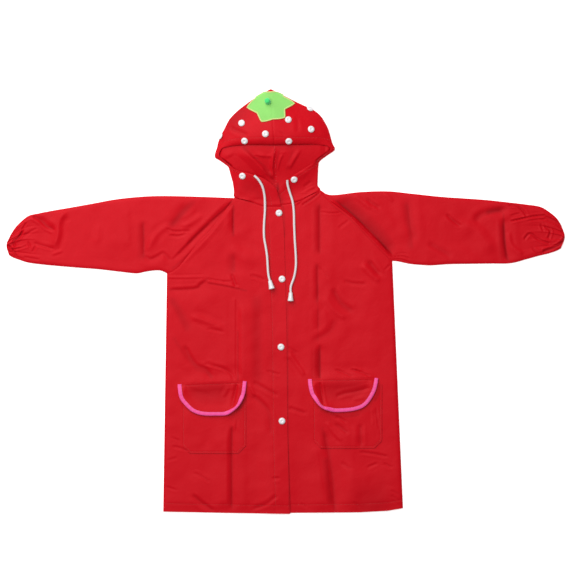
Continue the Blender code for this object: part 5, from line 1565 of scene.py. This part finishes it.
def make_flap(side):
    """Pocket flap, turned under at its root, with its curved edge inside the binding."""
    share = flap_shares(FLAP_COLUMNS)
    _, cosine = flap_curl(side, share)
    inside = flap_point(side, share, BINDING_WIDTH * cosine + 1)
    root_x = np.linspace(inside[0, 0], inside[-1, 0], len(share))
    root = np.stack((root_x, flap_root(side, root_x)), axis=-1)
    down = np.linspace(0, 1, FLAP_ROWS)[:, None, None]
    plan = root + (inside - root) * down
    x, y = plan[..., 0], plan[..., 1]
    depth = flap_root(side, x) - y
    rim = ease(1 - np.linalg.norm(plan - inside, axis=2) / RIM_REACH)
    under = flap_under(side, x, y) + flap_rise(side, share) * rim * ease(depth / 8)
    fine = groove(np.abs(depth - FLAP_STITCH), FLAP_GROOVE)
    fine = fine + swell(x, y, FLAP_SWELL) * ease(depth / 10)
    top = np.stack((x, y, under + 1.0 + fine), axis=-1)
    turned_under = 1.0 * ease(1 - depth / 3.0)
    bottom = np.stack((x, y, under + 1.0 - wall() - turned_under), axis=-1)
    top = np.concatenate((top, edge_section(side, share, FLAP_HELD, 1.0)[None]))
    held = edge_section(side, share, FLAP_HELD, 1.0 - wall())
    bottom = np.concatenate((bottom, held[None]))
    piece = shell("flap_%s_cloth" % side, top, bottom)
    finish_piece(piece, "cloth_red", ["flap_" + side], red_nylon())
    paint_fold_shade(piece, FLAP_CREASES, FLAP_PAINTED_SHADE)


# The folded tape across its width: how far in from the bound edge, and the height
BINDING_SECTION = (
    (BINDING_WIDTH, 2.3), (BINDING_WIDTH, 2), (4, 1.5), (1.3, 1.4), (1.1, 0.5), (1.3, -0.4),
    (4, -0.4), (BINDING_WIDTH, -0.4), (BINDING_WIDTH, -0.9), (4, -1.35), (1.4, -1.4),
    (0.5, -1.1), (0.08, -0.4), (0, 0.5), (0.08, 1.4), (0.5, 2.1), (1.4, 2.45), (3.4, 2.55),
    (5, 2.5), (6.3, 2.25), (7, 2.3),
)
BINDING_COLUMNS = 170
TAPE_RIPPLE = 0.12


def make_binding(side):
    """Bias tape folded over the flap's curved edge."""
    share = flap_shares(BINDING_COLUMNS)
    rings = []
    for depth, height in BINDING_SECTION:
        line = edge_section(side, share, depth, height)
        line[:, 2] += TAPE_RIPPLE * np.sin(np.arange(len(share)) * 0.9) * ease(depth / 3)
        rings.append(line)
    rings = np.swapaxes(np.array(rings), 0, 1)
    piece = rings_mesh("flap_binding_%s_tape" % side, rings, 18.0)
    tape = shared("pink bias tape", bias_tape, "binding")
    finish_piece(piece, "binding_pink", ["flap_binding_" + side], tape)


# --- Caps, leaf, stem, cords ---

# Half sections of the turned pieces, as radius and height
CAP_PROFILE = (
    (0, 2.1), (1, 2.12), (2, 2.45), (2.6, 2.78), (3.4, 2.72), (4.6, 2.35), (5.6, 1.6),
    (6.15, 0.95), (6.2, 0.55), (6, 0.1), (5.4, -0.15), (0, -0.2),
)
STEM_PROFILE = (
    (0, 12), (2.2, 12), (4.2, 11.2), (5.2, 9.2), (5.6, 6), (5.4, 2.5), (5.3, 0.6), (5.7, 0),
    (4.5, -0.3), (0, -0.3),
)
STOP_PROFILE = (
    (0, 16), (2.4, 16), (3.3, 15.7), (3.6, 15), (3.7, 12.5), (4, 9.4), (4.7, 5),
    (5.3, 2), (5.6, 0.8), (5.4, 0.1), (4.7, 0), (3.9, 0.2), (3.6, 2), (2, 2.2), (0, 2.2),
)
CAP_STAND = 0.25  # how far a cap's middle stands off the cloth


def cap_on(name, tree, target, node, looking_down):
    """A domed, dimpled cap pressed on to the cloth nearest to a point."""
    target = Vector(target) * MM
    if looking_down:
        hit, normal, _, _ = tree.ray_cast(Vector((target.x, target.y, SKY * MM)), DOWN)
    else:
        hit, normal, _, _ = tree.find_nearest(target)
    mesh = turned(name, CAP_PROFILE)
    piece = placed(name, mesh, hit + normal * CAP_STAND * MM, normal)
    finish_piece(piece, "caps_white", [node], white_plastic())


def make_caps():
    """Snap caps down the front edge and the matching caps on the hood."""
    front = surface_of(bpy.data.objects["front_right_cloth"])
    for number, (x, y) in enumerate(SNAPS, start=1):
        node = "snap_%d" % number
        cap_on(node + "_cap", front, (x, y, SKY), node, True)
    hood = surface_of(*(bpy.data.objects["hood_%s_cloth" % side] for side in SIDES))
    for number, target in enumerate(HOOD_DOTS, start=1):
        node = "hood_dot_%02d" % number
        cap_on(node + "_cap", hood, target, node, target[2] > CAP_SIDEWAYS)


LEAF_CELLS = 14  # from one tip to the next
LEAF_TOP, LEAF_UNDER = 1.35, 0.3  # its two faces over the hood
LEAF_CUTTER = 80.0  # height of the shape that cuts it out
EDGING_INSET = 0.9
EDGING_HALF_WIDTH, EDGING_HALF_HEIGHT = 1.25, 0.5


def leaf_outline(shrink=0.0):
    """Star with concave sides; its upper points bend over the crown and look short."""
    points = []
    for index, tip in enumerate(LEAF_TIPS):
        after = LEAF_TIPS[(index + 1) % len(LEAF_TIPS)]
        turn = (after.degrees - tip.degrees) % 360
        for k in range(LEAF_CELLS):
            share = k / LEAF_CELLS
            peak = (tip if share < 0.5 else after).reach - LEAF_INNER
            reach = LEAF_INNER + peak * abs(1 - 2 * share) ** LEAF_HOLLOW - shrink
            angle = math.radians(tip.degrees + turn * share)
            x, y = reach * math.cos(angle), reach * math.sin(angle)
            if y > 0:
                y = CROWN_REACH * math.sin(min(y / CROWN_REACH, math.pi / 2))
            points.append((LEAF_CENTRE[0] + x, LEAF_CENTRE[1] + y))
    return points


def crown_layer(distance):
    """Grid of the crown's outer face over both halves, moved out by a distance."""
    first = int(np.searchsorted(hood_stations(), 8.9))
    columns = FACE_FINE + TURN_FINE - 2
    right, left = (hood_surfaces(side)[0][first:, :columns] for side in SIDES)
    middle = (right[-1:] + left[-1:]) / 2
    grid = np.concatenate((right[:-1], middle, left[-2::-1]))
    normal = grid_normals(grid)
    if normal[len(grid) // 2, 4, 2] < 0:
        normal = -normal
    return grid + normal * distance


def make_leaf():
    """Leaf applique: the crown's own surface, moved out and cut to the star's outline."""
    piece = shell("leaf_cloth", crown_layer(LEAF_TOP), crown_layer(LEAF_UNDER))
    shape = bmesh.new()
    rim = [shape.verts.new((x * MM, y * MM, LEAF_LOWEST * MM)) for x, y in leaf_outline()]
    floor = shape.faces.new(rim)
    raised = bmesh.ops.extrude_face_region(shape, geom=[floor])["geom"]
    tops = [item for item in raised if isinstance(item, bmesh.types.BMVert)]
    bmesh.ops.translate(shape, verts=tops, vec=(0, 0, LEAF_CUTTER * MM))
    bmesh.ops.recalc_face_normals(shape, faces=shape.faces)
    mesh = bpy.data.meshes.new("leaf_cutter")
    shape.to_mesh(mesh)
    shape.free()
    cutter = new_object("leaf_cutter", mesh)
    cut = piece.modifiers.new("outline", "BOOLEAN")
    cut.operation = "INTERSECT"
    cut.solver = "EXACT"
    cut.object = cutter
    graph = bpy.context.evaluated_depsgraph_get()
    shaped = bpy.data.meshes.new_from_object(piece.evaluated_get(graph))
    piece.modifiers.clear()
    piece.data = shaped
    bpy.data.objects.remove(cutter)
    tidy_mesh(shaped, 40)
    leaf = shared("green brushed applique", brushed_fabric, "leaf", 240.0)
    shaped.materials.clear()
    finish_piece(piece, "leaf_green", ["leaf"], leaf)
    return piece


# Steps in towards the leaf's middle until the edging lies on it: the most, each one's share
EDGING_TRIES, EDGING_STEP = 20, 0.015
EDGING_STEEPEST = 0.05  # Z of the normal below which the leaf is too steep there


def make_leaf_edging(leaf):
    """Satin-stitched edging round the leaf."""
    tree = surface_of(leaf)
    centre = np.array(LEAF_CENTRE)
    spots, normals = [], []
    for x, y in leaf_outline(EDGING_INSET):
        point = np.array((x, y))
        for _ in range(EDGING_TRIES):
            hit, normal, _, _ = tree.ray_cast(Vector((point[0], point[1], SKY)) * MM, DOWN)
            if hit is not None and normal.z > EDGING_STEEPEST:
                spots.append(np.array(hit) / MM)
                normals.append(np.array(normal))
                break
            point = point + (centre - point) * EDGING_STEP
    spots, normals = np.array(spots), np.array(normals)
    runs = unit(np.roll(spots, -1, axis=0) - np.roll(spots, 1, axis=0))
    aside = unit(np.cross(runs, normals))
    angle = np.linspace(0, 2 * np.pi, 12, endpoint=False)[None, :, None]
    rings = spots[:, None] + EDGING_HALF_WIDTH * aside[:, None] * np.cos(angle)
    rings = rings + EDGING_HALF_HEIGHT * normals[:, None] * np.sin(angle)
    rings = np.concatenate((rings, rings[:1]))
    piece = closed_loop_mesh("leaf_edging", rings)
    edging = shared("yellow-green satin stitching", satin_stitched, "edging")
    finish_piece(piece, "leaf_green", [], edging)


def closed_loop_mesh(name, rings):
    """Tube that runs round and joins itself; the last ring repeats the first."""
    rings = np.asarray(rings, float)
    rows, columns = rings.shape[0] - 1, rings.shape[1]
    index = np.arange(rows * columns).reshape(rows, columns)
    after = np.roll(index, -1, axis=1)
    index2, after2 = np.roll(index, -1, axis=0), np.roll(after, -1, axis=0)
    quads = np.stack((index, after, after2, index2), axis=-1).reshape(-1, 4)
    mesh = bpy.data.meshes.new(name)
    mesh.from_pydata((rings[:-1].reshape(-1, 3) * MM).tolist(), [], quads.tolist())
    down, _ = mean_reach(rings)
    layer = mesh.uv_layers.new(name="cloth")
    corners = np.arange(4 * len(quads))
    row = corners // 4 // columns + np.isin(corners % 4, (2, 3))
    column = corners // 4 % columns + np.isin(corners % 4, (1, 2))
    uv = np.stack((column / columns * 8.0, down[row]), axis=-1)
    layer.data.foreach_set("uv", (uv * MM).ravel())
    tidy_mesh(mesh)
    return new_object(name, mesh)


def make_stem(leaf):
    """Short stuffed stem that stands on the leaf, leaning a little."""
    tree = surface_of(leaf)
    x, y = STEM_PLACE
    hit, normal, _, _ = tree.ray_cast(Vector((x, y, SKY)) * MM, DOWN)
    mesh = turned("leaf_stem_fabric", STEM_PROFILE)
    piece = placed("leaf_stem_fabric", mesh, hit, normal)
    stem = shared("emerald stuffed fabric", brushed_fabric, "stem", 300.0)
    finish_piece(piece, "stem_green", ["leaf_stem"], stem)


def make_cord(side):
    """Free stretch of the hood cord and the bell-shaped stop on its end."""
    sizes = bpy.context.scene.rain_coat_sizes
    radius = sizes.cord_diameter / MM / 2
    line = along(CORD_ROUTES[side], np.linspace(0, 1, 150))
    runs = unit(np.gradient(line, axis=0))
    aside = unit(np.cross(runs, (0, 0, 1.0)))
    above = np.cross(aside, runs)
    angle = np.linspace(0, 2 * np.pi, 20, endpoint=False)[None, :, None]
    around = aside[:, None] * np.cos(angle) + above[:, None] * np.sin(angle)
    rings = line[:, None] + radius * around
    cord = rings_mesh("drawstring_%s_cord" % side, rings, 2 * math.pi * radius)
    braid = shared("white braided polyester", braided_cord, "cord")
    finish_piece(cord, "cord_white", ["drawstring_" + side], braid)

    before, neck = (Vector(point) for point in CORD_ROUTES[side][-2:])
    axis = (before - neck).normalized()
    mesh = turned("cord_end_%s_stop" % side, STOP_PROFILE)
    spot = (neck - axis * (STOP_LENGTH - STOP_OVERLAP)) * MM
    stop = placed("cord_end_%s_stop" % side, mesh, spot, axis)
    finish_piece(stop, "stops_white", ["cord_end_" + side], white_plastic())


# --- Stitches ---


def stitch_tree():
    """Node tree that lays stitches of one pitch along every line of a curve."""
    tree = bpy.data.node_groups.new("Row of stitches", "GeometryNodeTree")
    face = tree.interface
    face.new_socket("Geometry", in_out="INPUT", socket_type="NodeSocketGeometry")
    for name in ("Pitch", "Length", "Width"):
        face.new_socket(name, in_out="INPUT", socket_type="NodeSocketFloat")
    face.new_socket("Thread", in_out="INPUT", socket_type="NodeSocketMaterial")
    face.new_socket("Geometry", in_out="OUTPUT", socket_type="NodeSocketGeometry")
    source = add_node(tree, "NodeGroupInput")
    spaced = add_node(
        tree,
        "GeometryNodeResampleCurve",
        {"mode": "LENGTH"},
        {"Curve": source.outputs["Geometry"], "Length": source.outputs["Pitch"]},
    )
    bead = add_node(tree, "GeometryNodeMeshUVSphere", {"Segments": 6, "Rings": 5, "Radius": 0.5})
    size = add_node(
        tree,
        "ShaderNodeCombineXYZ",
        None,
        {"X": source.outputs["Width"], "Y": source.outputs["Width"], "Z": source.outputs["Length"]},
    )
    along_curve = {"Vector": add_node(tree, "GeometryNodeInputTangent").outputs["Tangent"]}
    turn = add_node(tree, "FunctionNodeAlignRotationToVector", {"axis": "Z"}, along_curve)
    stitches = add_node(
        tree,
        "GeometryNodeInstanceOnPoints",
        None,
        {
            "Points": spaced.outputs["Curve"],
            "Instance": bead.outputs["Mesh"],
            "Rotation": turn.outputs["Rotation"],
            "Scale": size.outputs["Vector"],
        },
    )
    real = add_node(
        tree, "GeometryNodeRealizeInstances", None, {"Geometry": stitches.outputs["Instances"]}
    )
    thread = add_node(
        tree,
        "GeometryNodeSetMaterial",
        None,
        {"Geometry": real.outputs["Geometry"], "Material": source.outputs["Thread"]},
    )
    smooth = add_node(
        tree, "GeometryNodeSetShadeSmooth", None, {"Geometry": thread.outputs["Geometry"]}
    )
    add_node(tree, "NodeGroupOutput", None, {"Geometry": smooth.outputs["Geometry"]})
    return tree


def stitched(name, lines, tree, material):
    """Stitches along lines of points, as one plain mesh."""
    sizes = bpy.context.scene.rain_coat_sizes
    curve = bpy.data.curves.new(name + "_lines", "CURVE")
    curve.dimensions = "3D"
    for line in lines:
        spline = curve.splines.new("POLY")
        spline.points.add(len(line) - 1)
        flat = np.column_stack((np.asarray(line) * MM, np.ones(len(line))))
        spline.points.foreach_set("co", flat.ravel())
    path = new_object(name + "_lines", curve)
    rows = path.modifiers.new("stitches", "NODES")
    rows.node_group = tree
    values = {
        "Pitch": sizes.stitch_pitch,
        "Length": sizes.stitch_length,
        "Width": sizes.stitch_width,
        "Thread": material,
    }
    for item in tree.interface.items_tree:
        if item.in_out == "INPUT" and item.name in values:
            rows[item.identifier] = values[item.name]
    graph = bpy.context.evaluated_depsgraph_get()
    mesh = bpy.data.meshes.new_from_object(path.evaluated_get(graph))
    bpy.data.objects.remove(path)
    mesh.name = name
    return new_object(name, mesh)


def dropped(tree, plan, lift=0.12):
    """Plan points laid on the highest surface under them."""
    points = []
    for x, y in plan:
        hit = tree.ray_cast(Vector((x, y, SKY)) * MM, DOWN)[0]
        if hit is not None:
            points.append((x, y, hit.z / MM + lift))
    return points


FRONT_LOW = -380.0  # where the fronts' width is taken, just above the hem
PLACKET_ENDS = (170, -376)
LEFT_HEM_START = 12  # the left front's hem shows from here, past the right one's edge


def front_stitch_lines(side, tree):
    """Hem stitching and, on the right front, the placket's."""
    lines = []
    edge = float(front_edge(side, FRONT_LOW))
    corner = SIDE_SEAM[side][1][0]
    reach = np.linspace(min(edge, corner) + 2, max(edge, corner) - 2, 90)
    if side == "left":
        reach = reach[reach > LEFT_HEM_START]
    lines.append(dropped(tree, np.stack((reach, hem_y(reach) + HEM_STITCH), axis=-1)))
    if side == "right":
        y = np.linspace(*PLACKET_ENDS, 160)
        x = line_x(OVERLAP_EDGE, y) - PLACKET_STITCH
        lines.append(dropped(tree, np.stack((x, y), axis=-1)))
    return lines


def pocket_stitch_lines(side, tree):
    """Stitching down the pocket's sides and along its bottom."""
    grid = pocket_grid(side)
    inner = grid[:, :, :2].copy()
    middle = inner.mean(axis=(0, 1))
    half_x, half_y = np.ptp(grid[..., 0]) / 2, np.ptp(grid[..., 1]) / 2
    scale = np.array((1 - POCKET_STITCH / half_x, 1 - POCKET_STITCH / half_y))
    inner = middle + (inner - middle) * scale
    route = np.concatenate((inner[14:, 0], inner[-1, 1:-1], inner[14:, -1][::-1]))
    return [dropped(tree, route)]


def flap_stitch_lines(side, tree):
    """Stitching along the flap's root."""
    x = np.linspace(FLAP_EDGE[side][0][0] + 9, FLAP_EDGE[side][-1][0] - 9, 50)
    return [dropped(tree, np.stack((x, flap_root(side, x) - FLAP_STITCH), axis=-1))]


def binding_stitch_lines(side, tree):
    """Edge stitching along the bias tape."""
    share = np.linspace(0.04, 0.96, 120)
    _, cosine = flap_curl(side, share)
    return [dropped(tree, flap_point(side, share, 6.4 * cosine + 0.3))]


def casing_stitch_line(side):
    """Stitching of the cord's channel, a set way in from the hood's face edge."""
    outside, _ = hood_surfaces(side)
    line = []
    for row, far in zip(outside, distances(outside, 1)):
        point = np.array([np.interp(CASING, far, row[:, axis]) for axis in range(3)])
        line.append(point + (0, 0, 0.1))
    return line[2:]


def make_stitches():
    """All the sewing that shows: red on the cloth, pink on the binding."""
    tree = stitch_tree()
    things = bpy.data.objects
    red, pink = [], []
    for side in SIDES:
        cloth = surface_of(things["front_%s_cloth" % side])
        red += front_stitch_lines(side, cloth)
        red += pocket_stitch_lines(side, surface_of(things["pocket_%s_cloth" % side]))
        red += flap_stitch_lines(side, surface_of(things["flap_%s_cloth" % side]))
        red.append(casing_stitch_line(side))
        pink += binding_stitch_lines(side, surface_of(things["flap_binding_%s_tape" % side]))
    pink_thread = shared("pink sewing thread", sewing_thread, "binding_thread")
    red_thread = shared("red sewing thread", sewing_thread, "thread")
    sewing = stitched("red_stitches", red, tree, red_thread)
    finish_piece(sewing, "cloth_red", [])
    tape_sewing = stitched("pink_stitches", pink, tree, pink_thread)
    finish_piece(tape_sewing, "binding_pink", [])


# --- Stage ---

VIEW_CENTRE = (0.002775, 0.026825, 0.004)
VIEW_WIDTH = 1.06005
CAMERA_HEIGHT = 6.0
SENSOR = 36.0
FLOOR_HALF, FLOOR_Z = 6.0, -0.0003
TABLE_CORNERS = ((-1, -1), (1, -1), (1, 1), (-1, 1))


def make_camera():
    """Camera straight above the coat, level with its edges."""
    data = bpy.data.cameras.new("camera")
    data.sensor_width = SENSOR
    data.lens = SENSOR * CAMERA_HEIGHT / VIEW_WIDTH
    data.clip_end = 50.0
    camera = new_object("camera", data)
    camera.location = (VIEW_CENTRE[0], VIEW_CENTRE[1], VIEW_CENTRE[2] + CAMERA_HEIGHT)
    bpy.context.scene.camera = camera


def area_light(name, place, aim, size, power, tint):
    """Soft rectangular light, turned towards a point."""
    data = bpy.data.lights.new(name, "AREA")
    data.shape = "RECTANGLE"
    data.size, data.size_y = size
    data.energy = power
    data.color = tint
    light = new_object(name, data)
    light.location = place
    light.rotation_mode = "QUATERNION"
    light.rotation_quaternion = (Vector(aim) - Vector(place)).to_track_quat("-Z", "Y")


def make_stage():
    """Pale floor, soft light from the upper left, and the camera."""
    make_camera()
    mesh = bpy.data.meshes.new("floor")
    corners = [(x * FLOOR_HALF, y * FLOOR_HALF, FLOOR_Z) for x, y in TABLE_CORNERS]
    mesh.from_pydata(corners, [], [(0, 1, 2, 3)])
    floor = new_object("floor", mesh)
    floor.data.materials.append(shared("opal acrylic light table", light_table, "floor"))
    area_light("key", (-0.91, 1.71, 1.74), (0, 0, 0), (2.2, 2.2), 48.0, (1.0, 0.99, 0.98))
    area_light("fill", (-0.6, 0.5, 2.55), (0, 0, 0), (2.4, 2.4), 50.0, (1.0, 1.0, 1.0))
    world = bpy.data.worlds.new("studio")
    world.use_nodes = True
    world.node_tree.nodes["Background"].inputs["Color"].default_value = (1, 1, 1, 1)
    world.node_tree.nodes["Background"].inputs["Strength"].default_value = 0.24
    bpy.context.scene.world = world
    bpy.context.scene.view_settings.view_transform = "Standard"


# --- Add-on: settings, one operator for each group of pieces, and the panel ---


def metres(name, text, default, low, high):
    """A length setting."""
    return bpy.props.FloatProperty(
        name=name, description=text, default=default, min=low, max=high, unit="LENGTH", precision=4
    )


def tint(name, text, tone):
    """A colour setting."""
    return bpy.props.FloatVectorProperty(
        name=name, description=text, default=colour(tone), min=0, max=1, size=3, subtype="COLOR"
    )


class RainCoatSizes(bpy.types.PropertyGroup):
    """Sizes that a user would change."""

    cloth: metres("Cloth", "Thickness of the cloth shells", 0.0007, 0.0003, 0.002)
    cord_diameter: metres("Cord", "Diameter of the hood cord", 0.0042, 0.002, 0.008)
    stitch_pitch: metres("Stitch pitch", "From one stitch to the next", 0.0032, 0.0015, 0.01)
    stitch_length: metres("Stitch length", "Length of one stitch", 0.0025, 0.001, 0.01)
    stitch_width: metres("Stitch width", "Width of the sewing thread", 0.00055, 0.0002, 0.002)


class RainCoatColours(bpy.types.PropertyGroup):
    """Colours that a user would change."""

    cloth: tint("Cloth", "Coated nylon of the coat", "#BF0816")
    thread: tint("Thread", "Sewing thread on the coat", "#B30A13")
    binding: tint("Binding", "Bias tape round the flaps", "#E64690")
    binding_thread: tint("Binding thread", "Sewing thread on the tape", "#F27DB8")
    caps: tint("Caps", "Snap caps, hood caps and cord stops", "#DAD8DA")
    cord: tint("Cord", "Hood cord", "#DCD6D8")
    leaf: tint("Leaf", "Leaf on the crown", "#83C862")
    edging: tint("Leaf edging", "Stitched edge of the leaf", "#C4D27C")
    stem: tint("Stem", "Stem on the leaf", "#3ACC6C")
    floor: tint("Floor", "Light table under the coat", "#FAFAFA")


class RAINCOAT_OT_stage(bpy.types.Operator):
    """Make the floor, the lights and the camera"""

    bl_idname = "raincoat.stage"
    bl_label = "Stage"

    def execute(self, context):
        make_stage()
        return {"FINISHED"}


class RAINCOAT_OT_drawstrings(bpy.types.Operator):
    """Make the two free ends of the hood cord with their stops"""

    bl_idname = "raincoat.drawstrings"
    bl_label = "Drawstrings"

    def execute(self, context):
        for side in SIDES:
            make_cord(side)
        return {"FINISHED"}


class RAINCOAT_OT_body(bpy.types.Operator):
    """Make the back panel and the two fronts"""

    bl_idname = "raincoat.body"
    bl_label = "Body"

    def execute(self, context):
        make_back()
        for side in SIDES:
            make_front(side)
        return {"FINISHED"}


class RAINCOAT_OT_sleeves(bpy.types.Operator):
    """Make the two raglan sleeves with their gathered wrists"""

    bl_idname = "raincoat.sleeves"
    bl_label = "Sleeves"

    def execute(self, context):
        for side in SIDES:
            make_sleeve(side)
        return {"FINISHED"}


class RAINCOAT_OT_hood(bpy.types.Operator):
    """Make the two halves of the hood"""

    bl_idname = "raincoat.hood"
    bl_label = "Hood"

    def execute(self, context):
        for side in SIDES:
            make_hood_half(side)
        return {"FINISHED"}


class RAINCOAT_OT_pockets(bpy.types.Operator):
    """Make the patch pockets, their flaps and the flaps' binding"""

    bl_idname = "raincoat.pockets"
    bl_label = "Pockets and flaps"

    def execute(self, context):
        for side in SIDES:
            make_pocket(side)
            make_flap(side)
            make_binding(side)
        return {"FINISHED"}


class RAINCOAT_OT_caps(bpy.types.Operator):
    """Make the snap caps and the hood's caps"""

    bl_idname = "raincoat.caps"
    bl_label = "Caps"

    def execute(self, context):
        make_caps()
        return {"FINISHED"}


class RAINCOAT_OT_leaf(bpy.types.Operator):
    """Make the leaf, its stitched edging and its stem"""

    bl_idname = "raincoat.leaf"
    bl_label = "Leaf and stem"

    def execute(self, context):
        leaf = make_leaf()
        make_leaf_edging(leaf)
        make_stem(leaf)
        return {"FINISHED"}


class RAINCOAT_OT_stitches(bpy.types.Operator):
    """Make the sewing that shows"""

    bl_idname = "raincoat.stitches"
    bl_label = "Stitches"

    def execute(self, context):
        make_stitches()
        return {"FINISHED"}


OPERATORS = (
    RAINCOAT_OT_stage,
    RAINCOAT_OT_drawstrings,
    RAINCOAT_OT_body,
    RAINCOAT_OT_sleeves,
    RAINCOAT_OT_hood,
    RAINCOAT_OT_pockets,
    RAINCOAT_OT_caps,
    RAINCOAT_OT_leaf,
    RAINCOAT_OT_stitches,
)


class RAINCOAT_PT_panel(bpy.types.Panel):
    """Lists the coat's settings and the steps that build it"""

    bl_idname = "RAINCOAT_PT_panel"
    bl_label = "Rain coat"
    bl_space_type = "VIEW_3D"
    bl_region_type = "UI"
    bl_category = "Rain coat"

    def draw(self, context):
        layout = self.layout
        for settings in (context.scene.rain_coat_sizes, context.scene.rain_coat_colours):
            for key in settings.__annotations__:
                layout.prop(settings, key)
        for operator in OPERATORS:
            layout.operator(operator.bl_idname)


CLASSES = (RainCoatSizes, RainCoatColours, *OPERATORS, RAINCOAT_PT_panel)


def register():
    for item in CLASSES:
        bpy.utils.register_class(item)
    bpy.types.Scene.rain_coat_sizes = bpy.props.PointerProperty(type=RainCoatSizes)
    bpy.types.Scene.rain_coat_colours = bpy.props.PointerProperty(type=RainCoatColours)


def unregister():
    del bpy.types.Scene.rain_coat_colours
    del bpy.types.Scene.rain_coat_sizes
    for item in reversed(CLASSES):
        bpy.utils.unregister_class(item)


def main():
    """Build every piece in order."""
    register()
    for operator in OPERATORS:
        group, name = operator.bl_idname.split(".")
        getattr(getattr(bpy.ops, group), name)()


if __name__ == "__main__":
    main()
